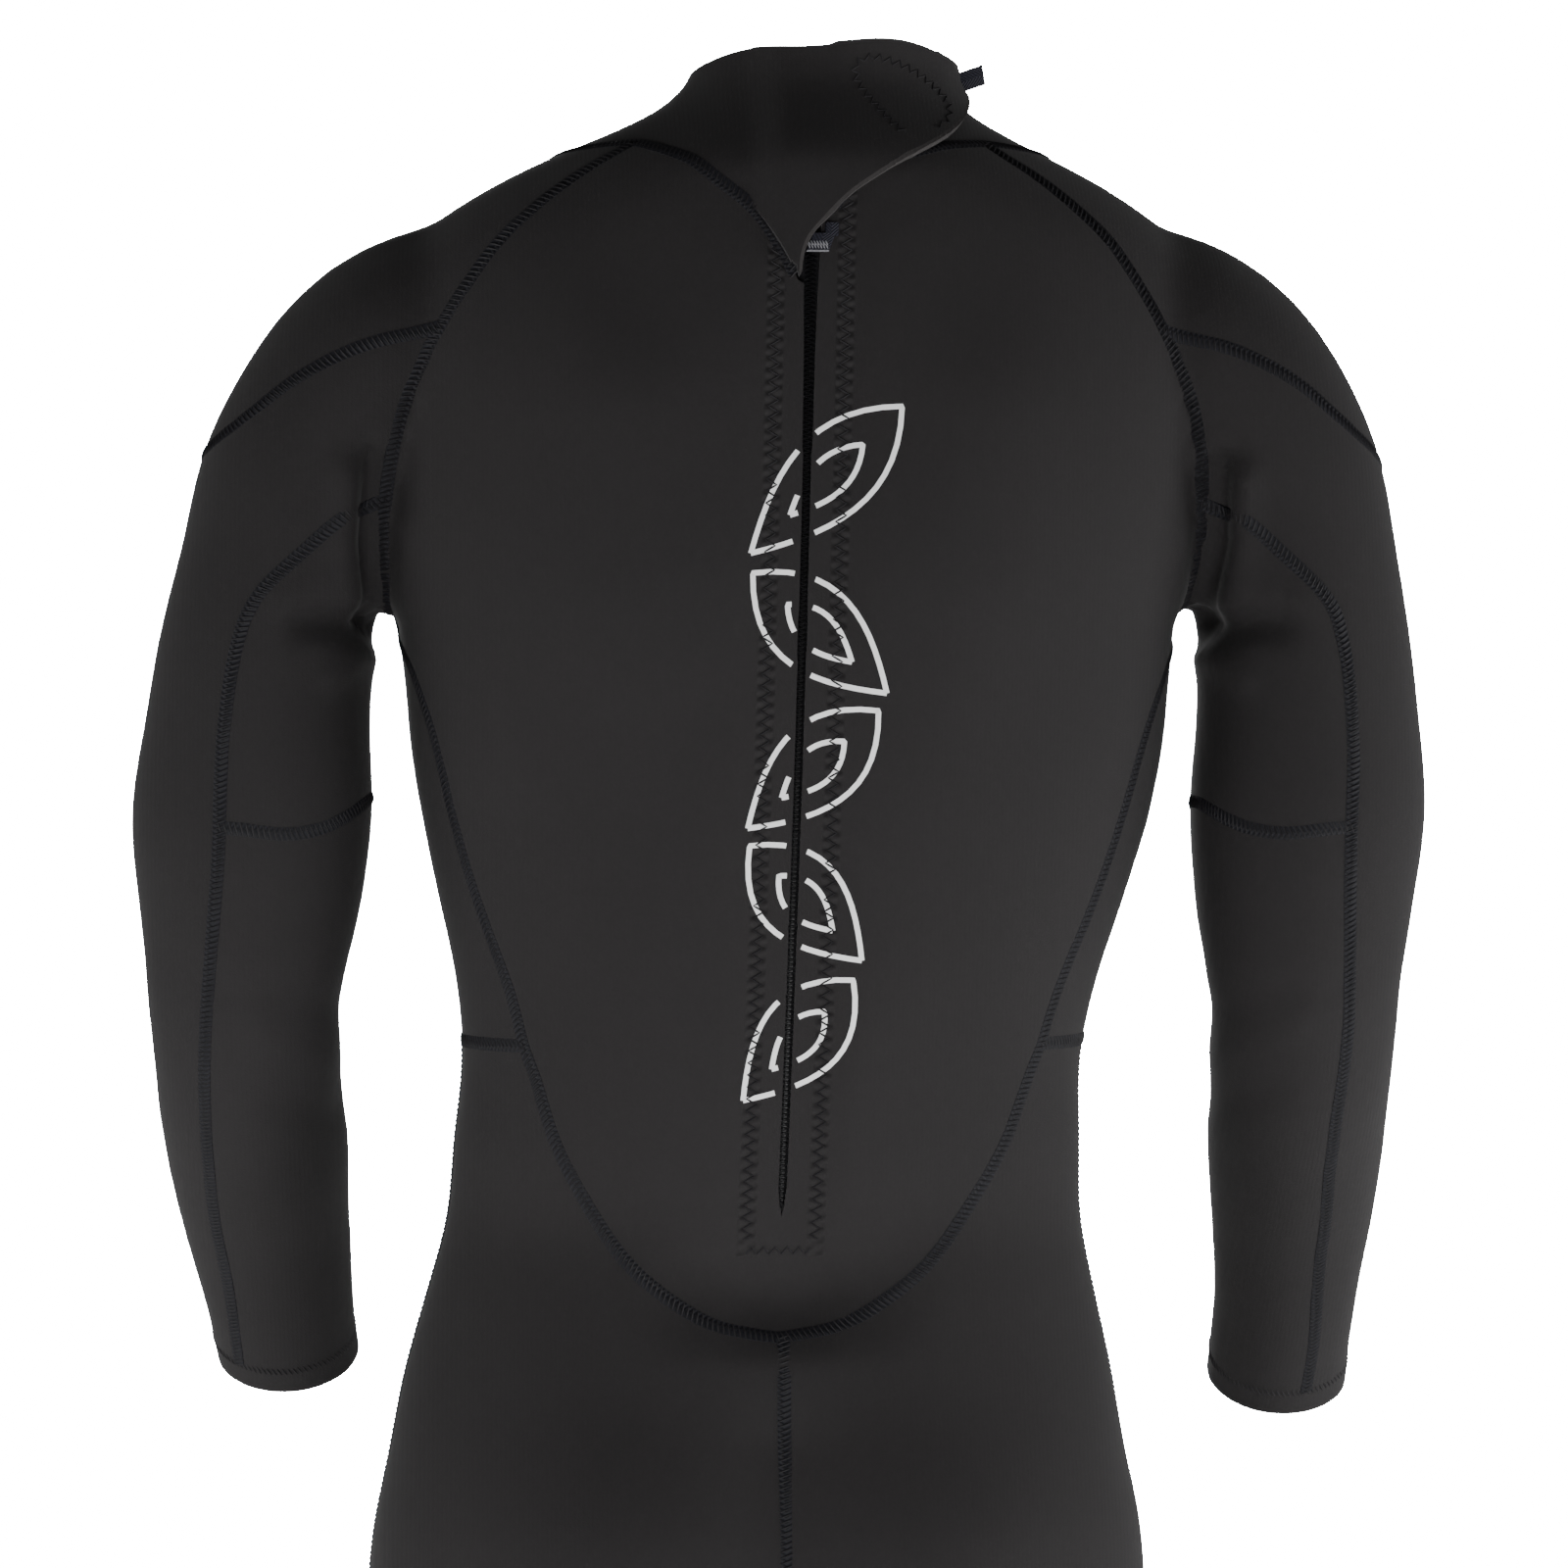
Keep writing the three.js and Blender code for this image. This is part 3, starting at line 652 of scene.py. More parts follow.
# line on the wearer's left, width, push in mm
back_bumps = [
    ([(88, -120), (80, -190)], 48, 7.0),
    ([(58, -250), (50, -360)], 34, 2.5),
    ([(30, -400), (32, -470)], 22, 1.5),
    ([(78, -655), (84, -715)], 52, 9.0),
]
back_hollows = [
    ([(0, -40), (0, -500)], 15, -1.2),
    ([(0, -600), (0, -720)], 24, -6.0),
]
armpit_folds = [
    ([(200, -138), (201, -176), (196, -212)], 5.5, -8.0),
    ([(210, -146), (211, -178), (207, -206)], 8, 4.4),
    ([(186, -170), (187, -200)], 9, 2.4),
    ([(228, -213), (212, -214), (198, -216)], 8, -8.0),
    ([(216, -240), (203, -228)], 6, 3.6),
    ([(236, -206), (216, -224)], 8, 1.8),
]
sleeve_folds = [
    ([(214, -396), (240, -388)], 9, -1.1),
    ([(216, -420), (246, -404)], 9, 1.0),
    ([(214, -448), (240, -436)], 9, -0.9),
    ([(286, -372), (262, -386)], 10, -0.7),
]
points = read_points(skin)
normals = read_normals(skin)
folded = points.copy()
folded[:, 0] = np.abs(folded[:, 0]) / grade_x
folded[:, 2] /= grade_z
behind = step_up(points[:, 1], -5, 25)
on_arm = step_up(folded[:, 0], 176, 192)
push = np.zeros(len(points))
for line, width, amount in back_bumps + back_hollows:
    push += amount * near_line(folded, line, width) * behind * (1 - on_arm)
for line, width, amount in armpit_folds:
    push += amount * near_line(folded, line, width) * step_up(points[:, 1], -20, 10)
for line, width, amount in sleeve_folds:
    push += amount * near_line(folded, line, width) * on_arm
# a faint ripple, so that no stretch of cloth is perfectly even
up_wave = np.sin(points[:, 2] / 19 + 1.7 * np.sin(points[:, 0] / 31))
cross_wave = np.sin(points[:, 0] / 23 + points[:, 1] / 29)
ripple_height = 0.35
push += ripple_height * (up_wave * cross_wave)
write_points(skin, points + normals * push[:, None])
apply_modifier(skin, "SMOOTH", factor=0.5, iterations=3)
print("deepest push", round(float(push.min()), 1), "highest", round(float(push.max()), 1))

# %% [markdown]
# ## The back lies on the zip's arc
# The slider turns about the arc's centre, so the cloth beside the slit is eased onto that arc. The
# ease fades to nothing a hand's breadth to each side.

# %% Ease the back onto the arc
skin_data = skin.data
skin_data.calc_loop_triangles()
triangles = np.empty(len(skin_data.loop_triangles) * 3, dtype=np.int64)
skin_data.loop_triangles.foreach_get("vertices", triangles)
triangles = triangles.reshape(-1, 3)
points = read_points(skin)


def tree_of(points, triangles):
    return BVHTree.FromPolygons((points * MM).tolist(), triangles.tolist())


far_behind = 400.0


def cast_back(tree, x, z):
    """The y and the normal of the first surface met from behind at x, z, or None."""
    hit, normal, _, _ = tree.ray_cast(Vector((x * MM, far_behind * MM, z * MM)), Vector((0, -1, 0)))
    return None if hit is None else (hit.y / MM, normal)


rough_tree = tree_of(points, triangles)
heights = np.arange(-540, 1, 12.0) * grade_z
centre_y = np.array([cast_back(rough_tree, 0.01, z)[0] for z in heights])
fade_low = step_up(points[:, 2], -560 * grade_z, -500 * grade_z)
fade_high = 1 - step_up(points[:, 2], -16 * grade_z, 8 * grade_z)
fade_z = fade_low * fade_high
fade_x = 1 - step_up(np.abs(points[:, 0]), 22, 80)
ease = zip_y(points[:, 2]) - np.interp(points[:, 2], heights, centre_y)
flatten = 1 - step_up(np.abs(points[:, 0]), 10, 34)
on_back = points[:, 1] > 0
points[:, 1] += np.where(on_back, ease * fade_z * fade_x, 0)
near_zip = on_back & (np.abs(points[:, 0]) < 30)
dip = zip_y(points[:, 2]) - points[:, 1]
points[:, 1] += np.where(near_zip, dip * fade_z * flatten * 0.9, 0)
print("largest ease", round(float(np.abs(ease).max()), 1), "mm")

# %% [markdown]
# ## Cutting the panels
# A pattern is cut along lines. Here each line is where a field is zero: negative inside a panel and
# positive outside, in millimetres. The triangles that a line crosses are split on it, so the cut
# is exact, and every cut leaves a chain of points that a seam follows later. The lines curve over a
# curved skin, which a straight bisect can't follow, so this is done on the points themselves.

# %% Seam lines, drawn upright on the wearer's left
neckline = [(83, 11), (58, 1), (44, -10), (31, -20), (22, -30), (13, -44), (4.6, -60)]
neckline_right = [(83, 12), (62, 9), (45, 4), (33, 0), (17, -11), (8, -26)]
front_neckline = [(0, -24), (50, -14), (83, 4), (130, 10)]
raglan = [
    (83, 11), (112, -8), (140, -32), (157, -55), (170, -76), (183, -105), (191, -135), (194, -165),
    (193, -192), (190, -213),
]
princess = [(190, -213), (178, -240), (168, -268), (158, -305), (147, -340), (129, -387), (122, -412)]
lower_back = [
    (122, -412), (115, -430), (106, -457), (92, -483), (76, -507), (56, -526), (30, -541), (0, -547),
]
shoulder_seam = [(150, -62), (170, -76), (205, -85), (236, -100), (262, -119), (330, -165)]
sleeve_seam = [
    (180, -156), (193, -156), (213, -166), (230, -181), (252, -203), (260, -225), (264, -252), (266, -285),
    (266, -320), (268, -360), (271, -410), (271, -460), (268, -505), (262, -545), (254, -640),
]
cross_seam = [(310, -310), (263, -310), (235, -313), (215, -309), (200, -299), (180, -280)]
flap_free_edge = [
    (4.6, -60), (4.3, -49), (1.5, -39.5), (-3, -33.5), (-17, -18.3), (-33, -6.7), (-48.5, 2),
    (-59, 8.5), (-66, 15.5), (-70, 25), (-70, 35), (-66, 45), (-59, 54), (-50, 64),
]


def drawn(line, step=8):
    """A line through the given corners, drawn smoothly as with a french curve."""
    return [tuple(row) for row in smooth_path([(x, z, 0) for x, z in line], step)[:, :2]]


raglan, princess, lower_back = drawn(raglan), drawn(princess), drawn(lower_back)
shoulder_seam, sleeve_seam, cross_seam = drawn(shoulder_seam), drawn(sleeve_seam), drawn(cross_seam)
flap_free_edge, neckline = drawn(flap_free_edge, 4), drawn(neckline, 4)


def sized(line):
    return [(x * grade_x, z * grade_z) for x, z in line]


def polygon_field(outline):
    """Signed distance to a closed outline on the upright XZ plane, negative inside."""
    corners = np.array(sized(outline), float)

    def field(points, sign=1):
        flat = np.stack([points[:, 0] * sign, points[:, 2]], axis=1)
        nearest = np.full(len(flat), 1e12)
        inside = np.zeros(len(flat), bool)
        for a, b in zip(corners, np.roll(corners, -1, axis=0)):
            along = np.clip(((flat - a) @ (b - a)) / ((b - a) @ (b - a)), 0, 1)
            nearest = np.minimum(nearest, ((flat - a - along[:, None] * (b - a)) ** 2).sum(1))
            spans = (a[1] > flat[:, 1]) != (b[1] > flat[:, 1])
            if spans.any():
                reach = (b[0] - a[0]) * (flat[:, 1] - a[1]) / (b[1] - a[1] if b[1] != a[1] else 1) + a[0]
                inside ^= spans & (flat[:, 0] < reach)
        return np.sqrt(nearest) * np.where(inside, -1, 1)

    return field


class Skin:
    """Points, triangles and a panel name for each triangle."""

    def __init__(self, points, triangles):
        self.points = points.copy()
        self.triangles = triangles.copy()
        self.panel = np.array(["skin"] * len(triangles), dtype=object)
        self.chains = {}

    def cut(self, values, among, inside, seam=None):
        """Splits the panels named in among where values are zero; the negative side is renamed."""
        near = np.abs(values) < 0.4
        values = np.where(near, 0.0, values)
        signs = np.sign(values)[self.triangles]
        chosen = np.isin(self.panel, among)
        crossing = np.flatnonzero(chosen & (signs.min(1) < 0) & (signs.max(1) > 0))
        rows, kept = self.triangles[crossing], np.ones(len(self.triangles), bool)
        kept[crossing] = False
        cut_edges, new_points, new_triangles, new_inside, new_old = {}, [], [], [], []
        base, edges = len(self.points), []

        def middle(i, j):
            key = (i, j) if i < j else (j, i)
            if key not in cut_edges:
                t = values[key[0]] / (values[key[0]] - values[key[1]])
                cut_edges[key] = base + len(new_points)
                new_points.append(self.points[key[0]] * (1 - t) + self.points[key[1]] * t)
            return cut_edges[key]

        for old, row, sign in zip(crossing, rows, signs[crossing]):
            zeros = np.flatnonzero(sign == 0)
            if len(zeros):
                turn = int(zeros[0])
                a, b, c = (int(row[(turn + k) % 3]) for k in range(3))
                m = middle(b, c)
                pieces = [((a, b, m), sign[(turn + 1) % 3]), ((a, m, c), sign[(turn + 2) % 3])]
                edges.append((a, m))
            else:
                lone = int(np.flatnonzero(sign == (-1 if (sign < 0).sum() == 1 else 1))[0])
                a, b, c = (int(row[(lone + k) % 3]) for k in range(3))
                p, q = middle(a, b), middle(c, a)
                pieces = [((a, p, q), sign[lone]), ((p, b, c), -sign[lone]), ((p, c, q), -sign[lone])]
                edges.append((p, q))
            for piece, side in pieces:
                new_triangles.append(piece)
                new_inside.append(side < 0)
                new_old.append(self.panel[old])
        whole = chosen & kept & (signs.max(1) <= 0)
        touching = whole & ((signs == 0).sum(1) == 2)
        for row, sign in zip(self.triangles[touching], signs[touching]):
            a, b = (int(v) for v in row[sign == 0])
            edges.append((a, b))
        self.panel[whole] = inside
        self.panel = self.panel[kept]
        self.triangles = self.triangles[kept]
        if new_triangles:
            fresh = np.array([inside if i else o for i, o in zip(new_inside, new_old)], dtype=object)
            self.panel = np.concatenate([self.panel, fresh])
            self.triangles = np.concatenate([self.triangles, np.array(new_triangles)])
            self.points = np.concatenate([self.points, np.array(new_points)])
        if seam:
            self.chains[seam] = chain_up(edges)

    def normals(self):
        corners = self.points[self.triangles]
        facing = np.cross(corners[:, 1] - corners[:, 0], corners[:, 2] - corners[:, 0])
        total = np.zeros_like(self.points)
        for k in range(3):
            np.add.at(total, self.triangles[:, k], facing)
        return total / np.maximum(np.linalg.norm(total, axis=1, keepdims=True), 1e-12)


def chain_up(edges):
    """Walks loose edges into chains of point numbers, longest first."""
    beside = {}
    for a, b in {(min(e), max(e)) for e in edges}:
        beside.setdefault(a, []).append(b)
        beside.setdefault(b, []).append(a)
    used, chains = set(), []
    starts = [v for v in sorted(beside) if len(beside[v]) != 2] + sorted(beside)
    for start in starts:
        for follow in beside[start]:
            if (start, follow) in used:
                continue
            chain, here = [start], follow
            used.update({(start, follow), (follow, start)})
            while True:
                chain.append(here)
                onward = [v for v in beside[here] if (here, v) not in used]
                if len(beside[here]) != 2 or not onward:
                    break
                used.update({(here, onward[0]), (onward[0], here)})
                here = onward[0]
            if len(chain) > 3:
                chains.append(chain)
    return sorted(chains, key=len, reverse=True)


def path_length(path):
    return np.linalg.norm(np.diff(path, axis=0), axis=1).sum()


# %% Where the limbs bend and end
elbow_height, elbow_half, knee_half = -384 * grade_z, 50.0, 55.0
forearm_tilt = math.radians(35)
forearm_way = np.array([0, -math.sin(forearm_tilt), -math.cos(forearm_tilt)])
elbow_point = np.array([0, 3.0, elbow_height])
cuff_reach = {"left": 234.0, "right": 256.0}
arm_inner_x, forearm_high, forearm_low = 194, -450, -700
knee_height, ankle_height = -1040 * grade_z, -1400 * grade_z
hem_depth = 14
far_inside = -50.0


def collar_top(points, extra=0.0):
    lift = np.clip(points[:, 1] / 57, -1, 1)
    swell = 4 * np.exp(-(((points[:, 0] + 28) / 24) ** 2)) * (points[:, 1] > 0)
    swell += 2.6 * np.exp(-(((points[:, 0] - 40) / 17) ** 2)) * (points[:, 1] > 0)
    return points[:, 2] - (50.4 + 6 * lift + swell + extra)


def kept(body):
    """The panels that aren't waste."""
    return [name for name in set(body.panel) if name != "waste"]


def trim(body):
    """Takes off the ends of the tubes at the neck, the wrists and the ankles."""
    everything = list(set(body.panel))
    body.cut(-collar_top(body.points), everything, "waste", "neck_edge")
    for side, sign in (("left", 1), ("right", -1)):
        reach = (body.points - elbow_point) @ forearm_way - cuff_reach[side]
        aside, height = sign * body.points[:, 0], body.points[:, 2]
        on_this_arm = (aside > arm_inner_x) & (height < forearm_high) & (height > forearm_low)
        reach = np.where(on_this_arm, reach, far_inside)
        body.cut(-reach, kept(body), "waste", f"cuff_edge_{side}")
    body.cut(body.points[:, 2] - ankle_height, kept(body), "waste", "ankle_edge")


# %% Cut the suit
suit_skin = Skin(points, triangles)
trim(suit_skin)


def collar_field(points):
    """Negative on the collar: above the neckline, which differs in front and behind."""
    aside = np.abs(points[:, 0]) / grade_x
    back_line = np.array(sorted(neckline + [(200, 11)]))
    front_line = np.array(sorted(front_neckline))
    right_line = np.array(sorted(neckline_right + [(200, 12)]))
    behind = np.where(
        points[:, 0] > 0,
        np.interp(aside, back_line[:, 0], back_line[:, 1]),
        np.interp(aside, right_line[:, 0], right_line[:, 1]),
    )
    before = np.interp(aside, front_line[:, 0], front_line[:, 1])
    share = step_up(points[:, 1], -25, 25)
    return (before + (behind - before) * share) * grade_z - points[:, 2]


suit_skin.cut(collar_field(suit_skin.points), ["skin"], "collar", "neckline")
upper_torso = [*raglan, (192, -260), (192, -560), (196, -1500)]
body_outline = [*upper_torso, *[(-x, z) for x, z in reversed(upper_torso)], (-83, 120), (83, 120)]
suit_skin.cut(polygon_field(body_outline)(suit_skin.points), ["skin"], "torso", "raglan")
panel_at_arm = suit_skin.panel == "skin"
centres = suit_skin.points[suit_skin.triangles].mean(1)
suit_skin.panel[panel_at_arm & (centres[:, 0] > 0)] = "sleeve_left"
suit_skin.panel[panel_at_arm & (centres[:, 0] < 0)] = "sleeve_right"
back_half = [*raglan, *princess[1:], *lower_back[1:]]
back_outline = [*back_half, *[(-x, z) for x, z in reversed(back_half[:-1])], (-83, 120), (83, 120)]


def both(first, second):
    """Inside both fields."""
    return np.maximum(first, second)


armpit_height, waist = -213 * grade_z, -412 * grade_z
shoulder_y, side_y, centre_x, leg_side_y = -10.0, -45, -2.2, 4
p = suit_skin.points
behind_seam = np.where(p[:, 2] > armpit_height, shoulder_y - p[:, 1], -p[:, 1])
back_cut = both(polygon_field(back_outline)(p), behind_seam)
suit_skin.cut(back_cut, ["torso"], "back_panel", "back_outline")
slit_rows = [
    (-490, 0.1), (-485, 1.3), (-476, 2.0), (-440, 2.3), (-300, 2.3), (-150, 2.3), (-90, 2.7),
    (-60, 3.4), (-40, 4.2), (-20, 4.6), (120, 4.6),
]
slit_z, slit_half = np.array(slit_rows).T


def slit_half_at(points):
    half = np.interp(points[:, 2] / grade_z, slit_z, slit_half)
    return np.where(points[:, 2] > zip_bottom, half, 0.0)


p = suit_skin.points
suit_skin.cut(p[:, 0] - slit_half_at(p), ["back_panel"], "slit", "slit_left")
p = suit_skin.points
suit_skin.cut(-p[:, 0] - slit_half_at(p), ["slit"], "opening", "slit_right")
suit_skin.panel[suit_skin.panel == "slit"] = "back_panel"
centres = suit_skin.points[suit_skin.triangles].mean(1)
opening = suit_skin.panel == "opening"
suit_skin.panel[opening] = np.where(centres[opening, 2] > zip_bottom, "waste", "back_panel")
p = suit_skin.points
suit_skin.cut(waist - p[:, 2], ["torso"], "upper", "waist")
p = suit_skin.points
side_cut = both(side_y - p[:, 1], p[:, 2] - armpit_height)
suit_skin.cut(side_cut, ["upper"], "sides", "side_front")
centres = suit_skin.points[suit_skin.triangles].mean(1)
for side, sign in (("left", 1), ("right", -1)):
    suit_skin.panel[(suit_skin.panel == "sides") & (sign * centres[:, 0] > 0)] = f"side_panel_{side}"
suit_skin.panel[suit_skin.panel == "upper"] = "front_panel"
p = suit_skin.points
suit_skin.cut(centre_x - p[:, 0], ["torso"], "lower_left", "centre_seam")
suit_skin.panel[suit_skin.panel == "torso"] = "lower_right"
for side in ("left", "right"):
    p = suit_skin.points
    suit_skin.cut(leg_side_y - p[:, 1], [f"lower_{side}"], f"leg_back_{side}", f"leg_side_{side}")
    hem = ankle_height + hem_depth
    for name, start in ((f"leg_back_{side}", "ankle_hem_back"), (f"lower_{side}", "ankle_hem_front")):
        p = suit_skin.points
        suit_skin.cut(p[:, 2] - hem, [name], f"ankle_hem_{side}", f"{start}_{side}")
    above_knee = knee_height + knee_half - suit_skin.points[:, 2]
    suit_skin.cut(above_knee, [f"lower_{side}"], f"front_leg_{side}", f"knee_top_{side}")
    above_shin = knee_height - knee_half - suit_skin.points[:, 2]
    suit_skin.cut(above_shin, [f"lower_{side}"], f"knee_pad_{side}", f"knee_foot_{side}")
    suit_skin.panel[suit_skin.panel == f"lower_{side}"] = f"shin_{side}"

shoulder_outline = [*shoulder_seam, (430, -165), (430, 90), (60, 90), (60, -62)]
around_outer = [(450, -640), (450, 60), (120, 60), (120, -156)]
sleeve_seam_right = [(x + 27 * step_up(-z, 440, 600), z) for x, z in sleeve_seam]
outer_outline = {"left": [*sleeve_seam, *around_outer], "right": [*sleeve_seam_right, *around_outer]}
underarm_outline = [*cross_seam, (150, -280), (150, -120), (310, -120)]
for side, sign in (("left", 1), ("right", -1)):
    sleeve = f"sleeve_{side}"
    p = suit_skin.points
    reach = (p - elbow_point) @ forearm_way - (cuff_reach[side] - hem_depth)
    reach = np.where(p[:, 2] < forearm_high, reach, far_inside)
    suit_skin.cut(-reach, [sleeve], f"wrist_hem_{side}", f"hem_line_{side}")
    for outline, panel, seam in (
        (shoulder_outline, "shoulder_panel", "shoulder"),
        (outer_outline[side], "sleeve_outer", "sleeve"),
        (underarm_outline, "underarm_panel", "cross"),
    ):
        field = polygon_field(outline)(suit_skin.points, sign)
        suit_skin.cut(field, [sleeve], f"{panel}_{side}", f"{seam}_{side}")
    suit_skin.panel[suit_skin.panel == sleeve] = f"sleeve_inner_{side}"
counts = {name: int((suit_skin.panel == name).sum()) for name in sorted(set(suit_skin.panel))}
print("panels:", counts)
for name, chains in suit_skin.chains.items():
    print(name, [round(path_length(suit_skin.points[c])) for c in chains[:6]])

# %% [markdown]
# ## Collar and flap
# The collar closes over itself. Its right half, the underlap, lies flat on the neck. Its left half
# runs on past the zip as a flap, one thickness higher, and ends round the side of the neck. Both
# come off the same skin, and the flap is lifted along the surface's normals.

# %% Split the collar and cut the flap
p = suit_skin.points
suit_skin.cut(both(-p[:, 1], p[:, 0] + 5), ["collar"], "collar_underlap", "underlap_side")
p = suit_skin.points
suit_skin.cut(p[:, 1], ["collar"], "collar_front", "collar_side")
suit_skin.panel[suit_skin.panel == "collar"] = "under_flap"

hinge_x = -6.7


def hinge_distance(points):
    """Upright distance to the wearer's left of the flap's turning line."""
    return points[:, 0] + lean(points[:, 2]) - hinge_x


flap_skin = Skin(points, triangles)
top_cut = np.where(points[:, 0] > 0, collar_top(points), collar_top(points, 1.5))
flap_skin.cut(-top_cut, ["skin"], "waste")
p = flap_skin.points
flap_outline = [(120, -60), *flap_free_edge, (-50, 120), (120, 120)]
left_line = np.array(sorted(neckline + [(200, 11)]))
below = np.interp(p[:, 0] / grade_x, left_line[:, 0], left_line[:, 1]) * grade_z - p[:, 2]
flap_cut = both(polygon_field(flap_outline)(p), below)
flap_cut = both(flap_cut, np.where(p[:, 0] < 0, 10 - p[:, 1], -p[:, 1]))
flap_skin.cut(flap_cut, ["skin"], "neck_flap_edge", "flap_outline")
edge_width = 1.7
p = flap_skin.points
flap_skin.cut(polygon_field(flap_outline)(p) + edge_width, ["neck_flap_edge"], "neck_flap")
flap_rise = 5.3
flap_lift = flap_rise * (1 - step_up(hinge_distance(flap_skin.points), 1, 22))

# %% [markdown]
# ## Giving the panels their thickness
# Each panel gets an outer face, an inner face 3 mm behind it and a rim that closes them. The rim is
# its own material, because a bare cut shows the pale foam core. All panels share the skin's
# normals, so they meet exactly.

# %% Panel maker


def placed(points):
    """Upright millimetres to metres in the frame, with the lean added."""
    moved = np.array(points, float)
    moved[:, 0] += lean(moved[:, 2])
    return moved * MM


def new_piece(name, points, faces, materials, face_slots=None, uv=None, smooth=True):
    mesh = bpy.data.meshes.new(name)
    mesh.from_pydata(placed(points).tolist(), [], [list(map(int, f)) for f in faces])
    for material in materials:
        mesh.materials.append(material)
    if face_slots is not None:
        mesh.polygons.foreach_set("material_index", np.array(face_slots, dtype=np.int32))
    if uv is not None:
        layer = mesh.uv_layers.new(name="uv")
        corner = np.empty(len(mesh.loops), dtype=np.int32)
        mesh.loops.foreach_get("vertex_index", corner)
        layer.data.foreach_set("uv", (np.array(uv)[corner] * MM).astype(np.float32).ravel())
    obj = bpy.data.objects.new(name, mesh)
    scene.collection.objects.link(obj)
    bpy.ops.object.select_all(action="DESELECT")
    bpy.context.view_layer.objects.active = obj
    obj.select_set(True)
    if smooth:
        bpy.ops.object.shade_smooth_by_angle(angle=math.radians(50))
    return obj


panel_areas = {}


def thick_panel(name, source, panels, materials, lift=0.0, thickness=neoprene_thickness):
    """One piece of neoprene from the named panels of a skin."""
    normals = source.normals()
    chosen = source.triangles[np.isin(source.panel, panels)]
    used, flat = np.unique(chosen, return_inverse=True)
    triangles = flat.reshape(-1, 3)
    lift = lift[used][:, None] if isinstance(lift, np.ndarray) else lift
    outer = source.points[used] + normals[used] * lift
    inner = outer - normals[used] * thickness
    count = len(used)
    directed = np.concatenate([triangles[:, [0, 1]], triangles[:, [1, 2]], triangles[:, [2, 0]]])
    keys = {(int(a), int(b)) for a, b in directed}
    rim = sorted((b, a, a + count, b + count) for a, b in keys if (b, a) not in keys)
    faces = [*triangles.tolist(), *(triangles[:, ::-1] + count).tolist(), *rim]
    bare = [outer[start, 0] < 5.5 and outer[start, 2] < 48 for start, *_ in rim]
    shown = (source.panel[np.isin(source.panel, panels)] == f"{name}_edge").astype(int).tolist()
    slots = shown + [0] * len(triangles) + [int(b) for b in bare]
    corners = outer[triangles]
    spread = np.cross(corners[:, 1] - corners[:, 0], corners[:, 2] - corners[:, 0])
    panel_areas[f"{name}_cloth"] = float(np.linalg.norm(spread, axis=1).sum() / 2) * MM * MM
    upright = np.concatenate([outer, inner])[:, [0, 2]]
    return new_piece(f"{name}_cloth", np.concatenate([outer, inner]), faces, materials, slots, uv=upright)


# flat width and length of each cut piece, in mm
flat_sizes = {
    "back_panel": (440, 590), "front_panel": (520, 470), "collar_front": (300, 130),
    "collar_underlap": (120, 110), "neck_flap": (260, 150), "side_panel": (150, 215),
    "leg_back": (320, 1010), "shoulder_panel": (270, 250), "sleeve_outer": (240, 560),
    "underarm_panel": (240, 230), "sleeve_inner": (200, 360), "wrist_hem": (240, 16),
    "front_leg": (290, 610), "knee_pad": (200, 115), "shin": (200, 320), "ankle_hem": (290, 16),
}
plain = [jersey, jersey]
sheets = []


def tie(piece, body):
    """Ties a piece to one body; a piece given two bodies is fixed in place where it is, not bent."""
    if isinstance(body, str):
        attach(piece, body)
    else:
        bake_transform(piece)


def add_panel(name, key, body, panels=None, slot_name="neoprene", materials=plain, source=None, **options):
    """Makes a panel, ties it to its body and notes its flat size."""
    piece = thick_panel(name, source or suit_skin, panels or [name], materials, **options)
    area = panel_areas[piece.name]
    width, length = flat_sizes[key]
    print(f"{name}: area {area:.4f} m2, share {area / (width * length * MM * MM):.2f}")
    sheets.append((piece, key))
    tie(piece, body)
    return piece


def bend_at_elbow(side):
    joint = next(j for j in frame["joints"] if j["name"] == f"elbow_{side}")
    middle = np.array(joint["pos_m"])
    start = tuple(middle + np.array([0, 0, elbow_half * MM]))
    end = tuple(middle + forearm_way * elbow_half * MM)
    return "suit", f"forearm_{side}", start, end


def bend_at_knee(side):
    joint = next(j for j in frame["joints"] if j["name"] == f"knee_{side}")
    middle = np.array(joint["pos_m"])
    up = np.array([0, 0, knee_half * MM])
    return "suit", f"lower_leg_{side}", tuple(middle + up), tuple(middle - up)


